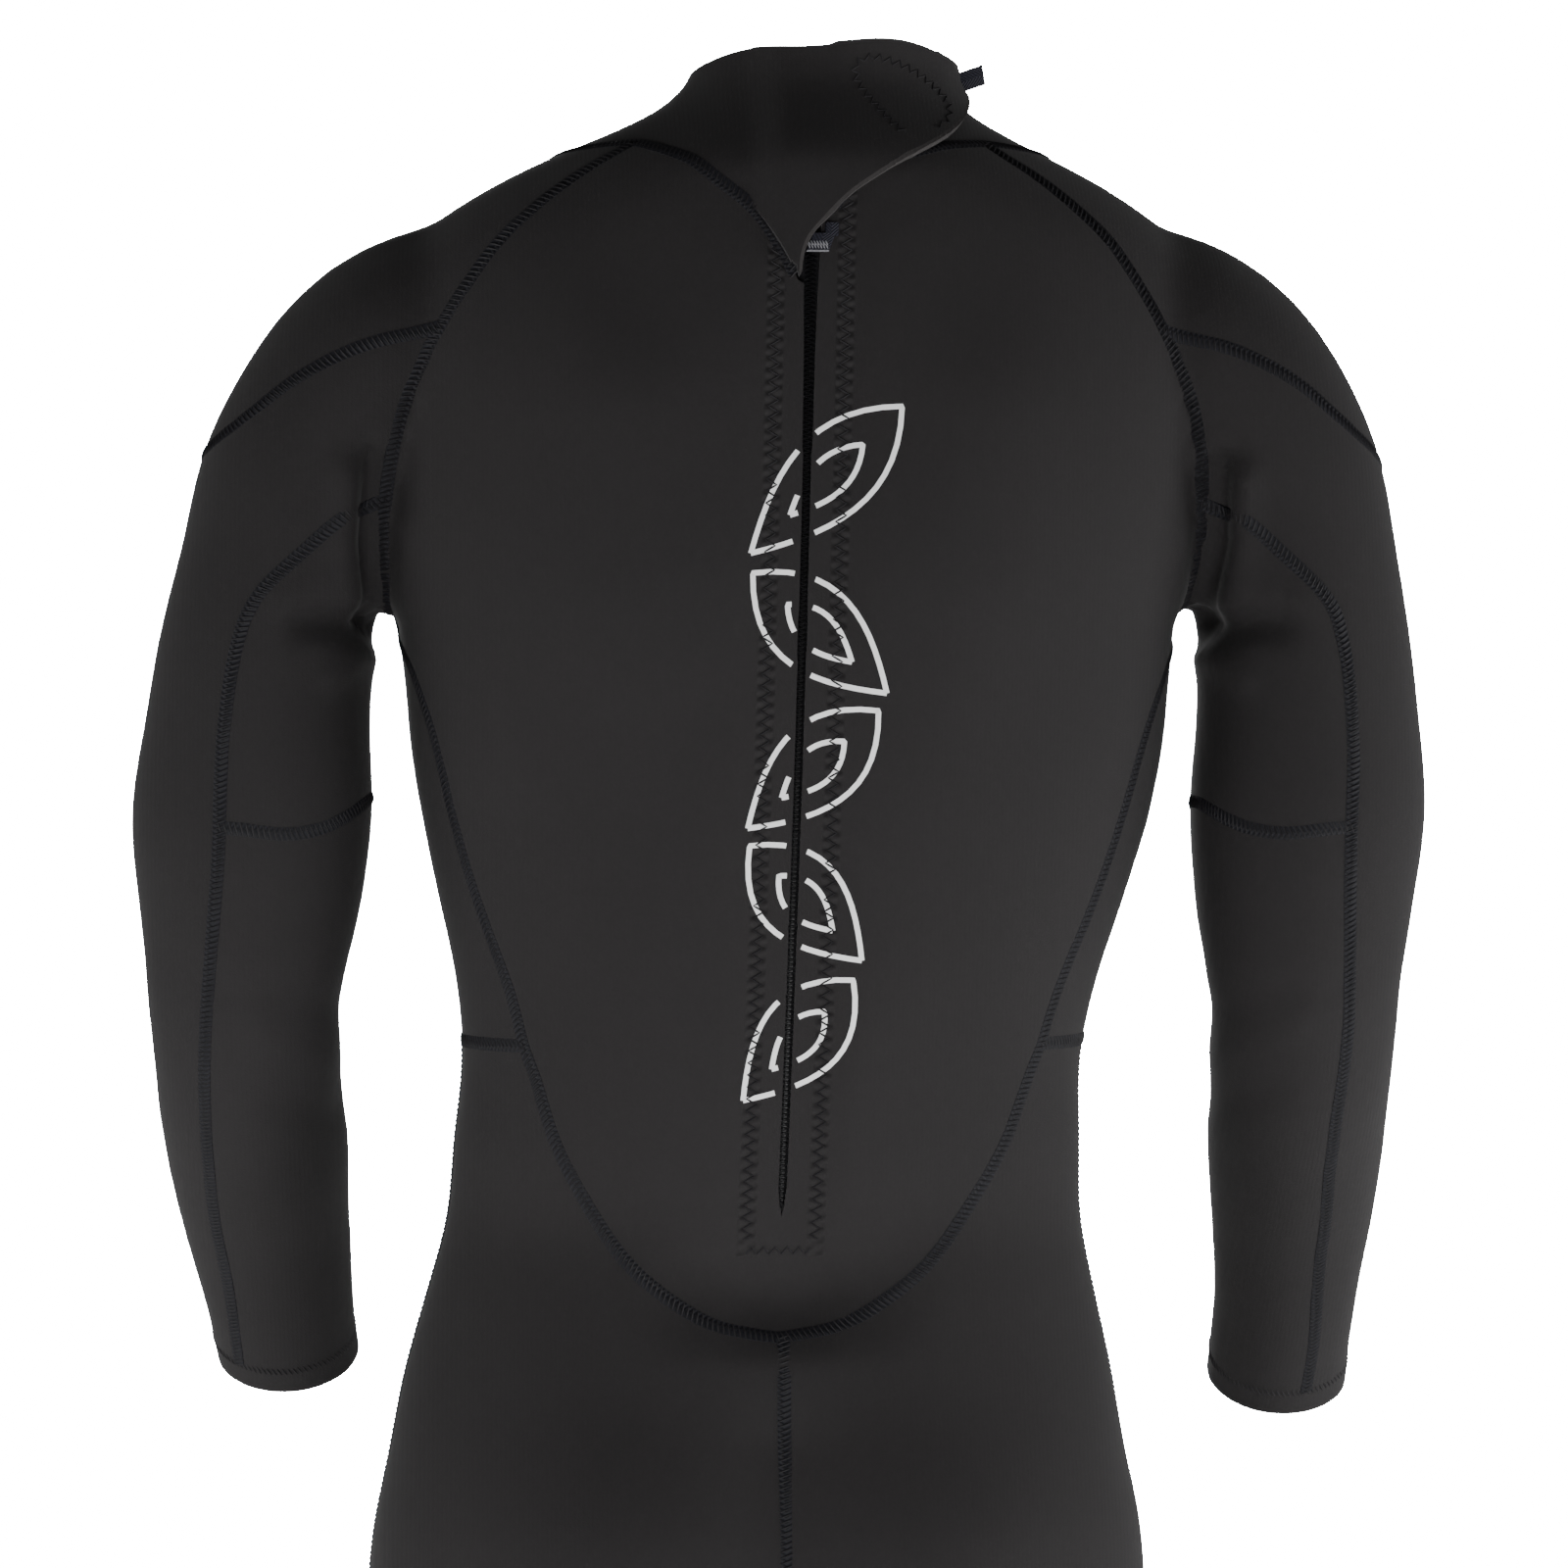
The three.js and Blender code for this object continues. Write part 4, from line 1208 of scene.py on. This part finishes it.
# %% Make every panel
back = add_panel("back_panel", "back_panel", "suit", materials=[back_jersey, jersey])
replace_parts(back, "back_panel")
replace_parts(add_panel("front_panel", "front_panel", "suit"), "front_panel")
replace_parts(add_panel("collar_front", "collar_front", "suit"), "collar_band")
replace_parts(add_panel("collar_underlap", "collar_underlap", "suit"), "collar_underlap")
flap_start = (0.014, 0.08, 0.0)
flap_end = (-0.012, 0.08, 0.0)
neck_flap = add_panel(
    "neck_flap", "neck_flap", ("suit", "flap", flap_start, flap_end), ["neck_flap", "neck_flap_edge"],
    materials=[jersey, cut_foam], source=flap_skin, lift=flap_lift,
)
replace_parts(neck_flap, "neck_flap")
for side in ("left", "right"):
    arm, leg = bend_at_elbow(side), bend_at_knee(side)
    forearm, lower_leg = f"forearm_{side}", f"lower_leg_{side}"
    # each panel's body or bend, and the rigid parts that it stands for
    made = {
        "side_panel": ("suit", ["side_panel"]),
        "shoulder_panel": ("suit", ["shoulder_panel"]),
        "underarm_panel": ("suit", ["underarm_panel"]),
        "sleeve_outer": (arm, ["sleeve_outer", "forearm_outer", "elbow_zone"]),
        "sleeve_inner": (arm, ["sleeve_inner", "forearm_inner"]),
        "wrist_hem": (forearm, ["wrist_hem"]),
        "leg_back": (leg, ["seat_panel", "knee_back", "calf_panel"]),
        "front_leg": ("suit", ["front_leg_panel"]),
        "knee_pad": (leg, ["knee_pad"]),
        "shin": (lower_leg, ["shin_panel"]),
        "ankle_hem": (lower_leg, ["ankle_hem"]),
    }
    for key, (body, nodes) in made.items():
        finish, slot_name = (knee_rubber, "knee_rubber") if key == "knee_pad" else (jersey, "neoprene")
        piece = add_panel(f"{key}_{side}", key, body, slot_name=slot_name, materials=[finish, finish])
        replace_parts(piece, *[f"{node}_{side}" for node in nodes])
bpy.data.objects.remove(skin)

# %% [markdown]
# ## Seams
# The panels are joined edge to edge by flatlock: a flat ribbon of thread 7 mm wide, crossed by
# slanted stitches every 2.5 mm. A ribbon follows each chain that a cut left behind. One stitch is a
# short arched thread of a few faces, stamped along the way.

# %% Sweeping and stamping


def follow(source, chain, step):
    """Even stations along a chain: places, directions, and the surface's normals."""
    path, normals = source.points[chain], source.normals()[chain]
    for _ in range(3):
        path[1:-1] = (path[:-2] + 2 * path[1:-1] + path[2:]) / 4
        normals[1:-1] = (normals[:-2] + 2 * normals[1:-1] + normals[2:]) / 4
    return stations(path, normals, step)


def stations(path, normals, step):
    run = np.concatenate([[0], np.cumsum(np.linalg.norm(np.diff(path, axis=0), axis=1))])
    count = max(2, int(round(run[-1] / step)) + 1)
    at = np.linspace(0, run[-1], count)
    place = np.stack([np.interp(at, run, path[:, k]) for k in range(3)], axis=1)
    normal = np.stack([np.interp(at, run, normals[:, k]) for k in range(3)], axis=1)
    way = np.gradient(place, axis=0)
    way /= np.maximum(np.linalg.norm(way, axis=1, keepdims=True), 1e-9)
    normal -= (normal * way).sum(1, keepdims=True) * way
    normal /= np.maximum(np.linalg.norm(normal, axis=1, keepdims=True), 1e-9)
    return place, way, normal, at


class Heap:
    """Collects points, faces and UVs of many small shapes that make one piece."""

    def __init__(self):
        self.points, self.faces, self.uv, self.count = [], [], [], 0

    def add(self, points, faces, uv=None):
        self.points.append(points)
        self.faces.extend([[v + self.count for v in f] for f in faces])
        self.uv.append(uv if uv is not None else np.zeros((len(points), 2)))
        self.count += len(points)

    def sweep(self, frame_rows, profile):
        """A closed outline of (aside, lift) carried along the stations."""
        place, way, normal, at = frame_rows
        aside = np.cross(way, normal)
        outline = np.array(profile)
        across = aside[:, None] * outline[None, :, :1]
        rings = place[:, None] + across + normal[:, None] * outline[None, :, 1:]
        n, k = len(place), len(outline)
        uv = np.stack([np.repeat(at, k), np.tile(outline[:, 0], n)], axis=1)
        faces = []
        for i in range(n - 1):
            a, b = i * k, (i + 1) * k
            faces += [[a + j, a + (j + 1) % k, b + (j + 1) % k, b + j] for j in range(k)]
        faces.append(list(range(k))[::-1])
        faces.append([(n - 1) * k + j for j in range(k)])
        self.add(rings.reshape(-1, 3), faces, uv)

    def stamp(self, frame_rows, shape_points, shape_faces):
        """The same little shape at every station; its axes are along, aside, lift."""
        place, way, normal, at = frame_rows
        aside = np.cross(way, normal)
        shape = np.array(shape_points, float)
        for i in range(len(place)):
            along = way[i] * shape[:, :1]
            points = place[i] + along + aside[i] * shape[:, 1:2] + normal[i] * shape[:, 2:]
            self.add(points, shape_faces, np.stack([at[i] + shape[:, 0], shape[:, 1]], axis=1))

    def make(self, name, material, smooth=True):
        points, uv = np.concatenate(self.points), np.concatenate(self.uv)
        return new_piece(name, points, self.faces, [material], uv=uv, smooth=smooth)


def arched_thread(length, slant, radius, rise, rings=4):
    """A thread lying across the seam: rings of four points from one side to the other."""
    points, faces = [], []
    for i in range(rings):
        t = i / (rings - 1)
        wide = radius * (0.55 if i in (0, rings - 1) else 1.0)
        along, aside = (t - 0.5) * slant, (t - 0.5) * length
        top = rise * math.sin(math.pi * t) + 0.1
        points += [
            (along - wide, aside, top), (along, aside, top + wide * 0.75),
            (along + wide, aside, top), (along, aside, top - wide * 0.6),
        ]
    for i in range(rings - 1):
        a, b = 4 * i, 4 * (i + 1)
        faces += [[a + j, b + j, b + (j + 1) % 4, a + (j + 1) % 4] for j in range(4)]
    faces.append([0, 1, 2, 3])
    faces.append([4 * (rings - 1) + j for j in (3, 2, 1, 0)])
    return points, faces


seam_profile = [
    (3.4, -0.5), (3.1, 0.12), (1.6, 0.38), (0, 0.3), (-1.6, 0.38), (-3.1, 0.12), (-3.4, -0.5),
]
shortest_seam = 25
stitch_points, stitch_faces = arched_thread(6.0, 2.2, 0.52, 0.42)


def sew(heap, threads, source, chain, step=2.6):
    heap.sweep(follow(source, chain, 4.0), seam_profile)
    threads.stamp(follow(source, chain, step), stitch_points, stitch_faces)


def clear_runs(source, chain):
    """The parts of a chain that stay clear of the zip's slit."""
    place = source.points[chain]
    clear = (np.abs(place[:, 0]) > slit_half_at(place) + 3.6) | (place[:, 1] < 0) | (place[:, 2] < zip_bottom)
    runs, run = [], []
    for number, free in zip(chain, clear):
        if free:
            run.append(number)
        else:
            runs.append(run)
            run = []
    runs.append(run)
    return [r for r in runs if len(r) > 3]


def seam_piece(name, lines, body):
    """Ribbon and stitches of some seams as two pieces."""
    ribbon, threads = Heap(), Heap()
    total = 0
    for line in lines:
        for chain in suit_skin.chains[line]:
            length = path_length(suit_skin.points[chain])
            if length < shortest_seam:
                continue
            total += length
            for run in clear_runs(suit_skin, chain):
                sew(ribbon, threads, suit_skin, run)
    made = [ribbon.make(f"{name}_tape", seam_thread), threads.make(f"{name}_stitches", stitch_thread)]
    for piece in made:
        tie(piece, body)
    print(f"{name}: {total / 1000:.2f} m of seam, {len(made[1].data.polygons)} stitch faces")


seam_piece("body_seams", ["raglan", "back_outline", "waist", "side_front"], "suit")
seam_piece("seat_seams", ["centre_seam"], "suit")
seam_piece("neck_seams", ["neckline"], "suit")
for side in ("left", "right"):
    arm, leg = bend_at_elbow(side), bend_at_knee(side)
    seam_piece(f"sleeve_seams_{side}", [f"{line}_{side}" for line in ("shoulder", "sleeve", "cross")], arm)
    seam_piece(f"leg_seams_{side}", [f"leg_side_{side}"], leg)
    seam_piece(f"knee_top_seam_{side}", [f"knee_top_{side}"], leg)
    seam_piece(f"knee_foot_seam_{side}", [f"knee_foot_{side}"], leg)

# %% [markdown]
# ## The zip
# The slit opens on a coil zip that lies some millimetres deeper, sewn to its two tapes. A soft
# guard backs it. The slider hides under the lips of the slit, and only a narrow lug comes through,
# with a puller and a short loop of webbing on it.

# %% Tapes, coil and slider


def on_arc(x, lift, z):
    """Points on the back's arc at a lift above it."""
    slope = np.arcsin((z - arc_z) / arc_radius)
    return np.stack([x + 0 * z, zip_y(z) + lift * np.cos(slope), z + lift * np.sin(slope)], axis=-1)


def arc_stations(x, lift, z_low, z_high, step):
    count = max(2, int(round((z_high - z_low) / step)) + 1)
    z = np.linspace(z_high, z_low, count)
    place = on_arc(np.full(count, x), lift, z)
    above = on_arc(np.full(count, x), lift + 1, z)
    way = np.gradient(place, axis=0)
    way /= np.linalg.norm(way, axis=1, keepdims=True)
    return place, way, above - place, np.arange(count) * step


def arc_strip(name, x_low, x_high, lift_low, lift_high, z_low, z_high, material, step=6):
    middle, half, thick = (x_low + x_high) / 2, (x_high - x_low) / 2, (lift_high - lift_low) / 2
    heap = Heap()
    corner = min(half, thick) * 0.6
    outline = [
        (-half, -thick + corner), (-half, thick - corner), (-half + corner, thick), (half - corner, thick),
        (half, thick - corner), (half, -thick + corner), (half - corner, -thick), (-half + corner, -thick),
    ]
    heap.sweep(arc_stations(middle, (lift_low + lift_high) / 2, z_low, z_high, step), outline)
    return heap.make(name, material)


guard = arc_strip("zip_guard_cloth", -30, 30, -9.2, -7.2, zip_bottom - 20, zip_top, jersey, step=10)
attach(guard, "suit")
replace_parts(guard, "zip_guard")
coil_pitch, coil_floor, coil_wire = 2.2, -5.9, 0.36
stop_low, stop_high = -6, -4.2
for side, sign in (("left", 1), ("right", -1)):
    inner, outer = sorted((sign * 0.3, sign * 15))
    tape = arc_strip(f"zip_tape_{side}_cloth", inner, outer, -6.9, -6.1, zip_bottom, zip_top, tape_cloth)
    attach(tape, "suit")
    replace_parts(tape, f"zip_tape_{side}")
    loop = Heap()
    rows = arc_stations(0, coil_floor, zip_bottom + 4, zip_top - 4, coil_pitch)
    shift = 0.0 if sign > 0 else coil_pitch / 2
    tooth_points, tooth_faces = [], []
    # one loop of the coil: along the zip, aside from its middle, lift
    path = [
        (0.6, 2.6, 0.3), (0.2, 1.2, 1.15), (0.0, -0.7, 1.3),
        (-0.25, -0.9, 0.7), (-0.2, 1.0, 0.1), (0.1, 2.7, 0.1),
    ]
    for along, aside, lift in path:
        for j in range(4):
            turn = math.pi / 2 * j + math.pi / 4
            right, up = coil_wire * math.cos(turn), coil_wire * math.sin(turn)
            tooth_points.append((along + shift + right, -sign * aside, lift + up))
    for i in range(len(path) - 1):
        for j in range(4):
            face = [4 * i + j, 4 * i + (j + 1) % 4, 4 * i + 4 + (j + 1) % 4, 4 * i + 4 + j]
            tooth_faces.append(face if sign < 0 else face[::-1])
    ends = [[3, 2, 1, 0], [4 * (len(path) - 1) + j for j in range(4)]]
    tooth_faces += ends if sign < 0 else [e[::-1] for e in ends]
    loop.stamp(rows, tooth_points, tooth_faces)
    coil = loop.make(f"zip_coil_{side}_teeth", coil_nylon)
    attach(coil, "suit")
    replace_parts(coil, f"zip_coil_{side}")
    near, far = sorted((sign * 0.4, sign * 3))
    stop = arc_strip(
        f"top_stop_{side}", near, far, stop_low, stop_high, zip_top - 3.8, zip_top, coil_nylon, step=2
    )
    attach(stop, "suit")
    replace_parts(stop, f"zip_top_stop_{side}")
stop = arc_strip("bottom_stop", -3, 3, stop_low, stop_high, zip_bottom, zip_bottom + 3.6, coil_nylon, step=2)
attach(stop, "suit")
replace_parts(stop, "zip_bottom_stop")

slider_top = zip_top - 5
parts = [
    arc_strip("slider", -4.5, 4.5, -3.9, -3.2, slider_top - 16, slider_top, slider_enamel, step=2),
    arc_strip("cheek", -4.5, -3.8, -5.8, -3.6, slider_top - 16, slider_top, slider_enamel, step=2),
    arc_strip("cheek", 3.8, 4.5, -5.8, -3.6, slider_top - 16, slider_top, slider_enamel, step=2),
    arc_strip("lug", -1.2, 1.2, -3.6, 1.8, slider_top - 15, slider_top - 8, slider_enamel, step=2),
]
slider = join(parts, "zip_slider_body")
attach(slider, "slider")
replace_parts(slider, "zip_slider")

# %% [markdown]
# ## Webbing
# The pull is a short fold of herringbone webbing with a row of pale stitches near its end. The
# flap has a small tab of the same webbing to hold it by.

# %% Puller, strap and tab
puller_top = slider_top - 17.2
puller = arc_strip("pull_tongue", -8.8, -6.6, 0.5, 1.7, puller_top - 6, puller_top, slider_enamel, step=1.5)
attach(puller, "pull")
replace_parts(puller, "zip_puller")


def rounded(half_width, half_thick, bulge=0.5):
    """An outline for webbing: flat faces and round edges, in (aside, lift)."""
    across = np.linspace(-half_width, half_width, 9)
    top = [(float(a), half_thick) for a in across]
    under = [(float(a), -half_thick) for a in across[::-1]]
    return [(-half_width - bulge, 0.0), *top, (half_width + bulge, 0.0), *under]


strap_z_high, strap_z_low, strap_x, strap_slant = puller_top - 0.5, -43.8 * grade_z, -2.6, 0.36


def strap_stations(low, high, step):
    """Stations down the strap, which hangs a little to one side."""
    place, way, normal, at = arc_stations(0, 1.2, low, high, step)
    place[:, 0] = strap_x - (place[:, 2] - strap_z_low) * strap_slant
    return place, way, normal, at


heap = Heap()
heap.sweep(strap_stations(strap_z_low, strap_z_high - 5, 0.8), rounded(4.7, 0.75))
heap.sweep(arc_stations(-9.0, 1.2, strap_z_high - 6, strap_z_high, 0.8), rounded(2.6, 0.7))
strap = heap.make("pull_strap_cloth", webbing)
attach(strap, "pull")
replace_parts(strap, "pull_strap")
heap = Heap()
dash_points, dash_faces = arched_thread(2.2, 1.0, 0.32, 0.22)
for row_z in (strap_z_low + 1.9, strap_z_low + 3.3):
    for k in range(7):
        x = strap_x - 4.1 + 1.36 * k
        place = on_arc(np.array([x]), 1.95, np.array([row_z]))
        facing = np.array([[0, 1.0, 0.15]]) / math.hypot(1, 0.15)
        rows = (place, np.array([[1.0, 0, 0]]), facing, np.array([0.0]))
        heap.stamp(rows, dash_points, dash_faces)
edge_row = strap_stations(strap_z_low - 0.35, strap_z_low + 0.05, 0.4)
heap.sweep(edge_row, rounded(4.75, 0.85))
pale_thread = cloth_material("pale_thread", knit, (0.16, 0.16, 0.18), (0.34, 0.34, 0.36), 0.7, 0.05)
dashes = heap.make("pull_strap_stitches", pale_thread)
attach(dashes, "pull")

tab_x, tab_y, tab_z = -69.5, 15.0, 48.5 * grade_z
tab_way = np.array([-0.93, -0.05, 0.38])
tab_way /= np.linalg.norm(tab_way)
tab_face = np.array([0.0, 1.0, -0.14])
count = 12
place = np.array([tab_x, tab_y, tab_z]) + np.outer(np.linspace(-4, 9.5, count), tab_way)
place[:, 1] -= np.linspace(0, 1, count) ** 2 * 1.5
normal = np.tile(tab_face / np.linalg.norm(tab_face), (count, 1))
heap = Heap()
heap.sweep((place, np.tile(tab_way, (count, 1)), normal, np.linspace(0, 13.5, count)), rounded(4.6, 0.8))
tab = heap.make("flap_tab_cloth", webbing)
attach(tab, "flap")
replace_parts(tab, "flap_tab")

# %% [markdown]
# ## Hook and loop
# The flap closes with a hook patch on its inside and a loop patch on the underlap. Outside, only
# the zigzag that holds the hook patch shows.

# %% Patches
patch_outline = [
    (-15, 41), (-14, 50), (-24, 52), (-44, 46), (-60, 34), (-62, 22), (-55, 17), (-41, 14), (-32, 22),
]
patch_line = drawn(patch_outline + [patch_outline[0]], 4)[:-1]
for name, lift, body in (("loop_patch", 0.9, "suit"), ("hook_patch", 1.8, "flap")):
    patch_skin = Skin(points, triangles)
    cutter = both(polygon_field(patch_line)(patch_skin.points), -patch_skin.points[:, 1])
    patch_skin.cut(cutter, ["skin"], "patch")
    piece = thick_panel(name, patch_skin, ["patch"], [pile, pile], lift=lift, thickness=0.8)
    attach(piece, body)
    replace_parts(piece, name)

# %% [markdown]
# ## Visible stitching
# Zigzag rows hold the zip's tapes, the hook patch and the hems. Each row is a thin thread that
# follows the cloth's outer face, found by looking straight at it from behind.

# %% Zigzag rows
outer_tree = tree_of(suit_skin.points, suit_skin.triangles)
flap_points = flap_skin.points + flap_skin.normals() * flap_lift[:, None]
on_flap = np.isin(flap_skin.panel, ["neck_flap", "neck_flap_edge"])
flap_tree = tree_of(flap_points, flap_skin.triangles[on_flap])


def on_cloth(tree, line):
    """Places and normals on the cloth behind the points of a line, leaving out misses."""
    places, normals = [], []
    for x, z in line:
        found = cast_back(tree, x, z)
        if found and found[0] > 0:
            places.append((x, found[0], z))
            normals.append(found[1])
    return np.array(places, float), np.array(normals, float)


def zigzag(line, amplitude, pitch):
    """Corners of a zigzag about a line."""
    path = np.array([(x, 0, z) for x, z in line], float)
    run = np.concatenate([[0], np.cumsum(np.linalg.norm(np.diff(path, axis=0), axis=1))])
    corners = []
    for i, at in enumerate(np.arange(0, run[-1], pitch / 2)):
        x, z = np.interp(at, run, path[:, 0]), np.interp(at, run, path[:, 2])
        dx = np.interp(at + 1, run, path[:, 0]) - np.interp(at - 1, run, path[:, 0])
        dz = np.interp(at + 1, run, path[:, 2]) - np.interp(at - 1, run, path[:, 2])
        size = math.hypot(dx, dz) or 1
        out = amplitude * (1 if i % 2 else -1)
        corners.append((x + out * dz / size, z - out * dx / size))
    return corners


def thread_along(heap, tree, corners, radius=0.42, lift=0.12):
    fine = []
    for (xa, za), (xb, zb) in zip(corners, corners[1:]):
        fine += [(xa + (xb - xa) * t, za + (zb - za) * t) for t in (0, 0.25, 0.5, 0.75)]
    places, normals = on_cloth(tree, fine)
    if len(places) < 4:
        return
    places = places + normals * lift
    way = np.gradient(places, axis=0)
    way /= np.maximum(np.linalg.norm(way, axis=1, keepdims=True), 1e-9)
    outline = [(-radius, 0.0), (0.0, radius * 0.8), (radius, 0.0), (0.0, -radius)][::-1]
    heap.sweep((places, way, normals, np.arange(len(places)) * 1.0), outline)


row_x, row_pitch = 16.2, 5.6
heap = Heap()
left_top, right_top = 2 * grade_z, -18 * grade_z
thread_along(heap, outer_tree, zigzag([(row_x, left_top - 6), (row_x, -505 * grade_z)], 2.4, row_pitch))
thread_along(heap, outer_tree, zigzag([(-row_x, right_top), (-row_x, -505 * grade_z)], 2.4, row_pitch))
thread_along(heap, outer_tree, zigzag([(row_x, -507 * grade_z), (-row_x, -507 * grade_z)], 1.8, row_pitch))
zip_rows = heap.make("zip_zigzag_stitches", stitch_thread)
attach(zip_rows, "suit")

heap = Heap()
thread_along(heap, flap_tree, zigzag(drawn(patch_outline[7:] + patch_outline[:7], 3), 1.6, 5.0), radius=0.36)
patch_rows = heap.make("patch_zigzag_stitches", stitch_thread)
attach(patch_rows, "flap")

# %% Hem stitches
small_points, small_faces = arched_thread(4.2, 2.4, 0.4, 0.3)
for side in ("left", "right"):
    for name, body, lines in (
        ("wrist", f"forearm_{side}", ["hem_line"]),
        ("ankle", f"lower_leg_{side}", ["ankle_hem_back", "ankle_hem_front"]),
    ):
        heap = Heap()
        for line in lines:
            for chain in suit_skin.chains[f"{line}_{side}"]:
                if path_length(suit_skin.points[chain]) > shortest_seam + 5:
                    heap.stamp(follow(suit_skin, chain, 2.6), small_points, small_faces)
        hem = heap.make(f"{name}_hem_stitches_{side}", stitch_thread)
        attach(hem, body)

# %% [markdown]
# ## Print
# A tall outlined graphic is screen printed down the back, and the zip runs through it. It is a
# plain pattern of outlined leaves, drawn in white ink thin enough to follow the cloth.

# %% Outlined graphic
line_half = 1.25


def closed(line, step=2.5):
    path = np.array([*line, line[0]], float)
    run = np.concatenate([[0], np.cumsum(np.linalg.norm(np.diff(path, axis=0), axis=1))])
    at = np.unique(np.concatenate([np.arange(0, run[-1], step), run]))
    return list(zip(np.interp(at, run, path[:, 0]), np.interp(at, run, path[:, 1])))


def ink(heap, line):
    """A closed outline as thin bands of ink, broken where the zip's slit is."""
    places, normals = on_cloth(outer_tree, closed(line))
    free = np.abs(places[:, 0]) > np.interp(places[:, 2] / grade_z, slit_z, slit_half) + 1.4
    runs = np.split(np.arange(len(places)), np.flatnonzero(np.diff(free.astype(int))) + 1)
    for run in runs:
        if len(run) < 3 or not free[run[0]]:
            continue
        path, facing = places[run], normals[run]
        way = np.gradient(path, axis=0)
        way /= np.maximum(np.linalg.norm(way, axis=1, keepdims=True), 1e-9)
        outline = [(-line_half, -0.05), (-line_half, 0.1), (line_half, 0.1), (line_half, -0.05)][::-1]
        heap.sweep((path, way, facing, np.arange(len(path)) * 1.0), outline)


def leaf(tip, foot, bulge, share=1.0):
    """An outlined leaf between two tips, shrunk about its middle by a share."""
    tip, foot = np.array(tip, float), np.array(foot, float)
    middle, half = (tip + foot) / 2, (tip - foot) / 2
    across = np.array([-half[1], half[0]]) / np.linalg.norm(half)
    line = []
    for side in (1, -1):
        for t in np.linspace(-1, 1, 15)[:-1]:
            swell = bulge * (1 - t * t) * (1 + 0.25 * side * t)
            line.append(middle + share * (side * t * half + side * swell * across))
    return [(float(x), float(z)) for x, z in line]


heap = Heap()
leaves = [(-116, -184), (-193, -248), (-256, -310), (-318, -371), (-380, -436)]
for number, (top, foot) in enumerate(leaves):
    top, foot = top * grade_z, foot * grade_z
    left, right = 25 - number * 1.2, -43 + number * 3.6
    tip, tail = ((left, top), (right, foot)) if number % 2 else ((right, top), (left, foot))
    ink(heap, leaf(tip, tail, 19))
    ink(heap, leaf(tip, tail, 17, 0.48))
graphic = heap.make("back_print", print_ink, smooth=False)
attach(graphic, "suit")

# %% [markdown]
# ## Flat sizes and bounds
# Each panel was cut flat and is stretched over a body; its area and its share of its flat size were printed
# when it was made. The size of the visual model is printed beside the frame's.

for piece, key in sheets:
    width, length = flat_sizes[key]
visual_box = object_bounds()
for axis in range(3):
    cad_side = round(cad_box[1][axis] - cad_box[0][axis], 4)
    seen_side = round(visual_box[1][axis] - visual_box[0][axis], 4)
    print("axis", axis, "cad", cad_side, "seen", seen_side)
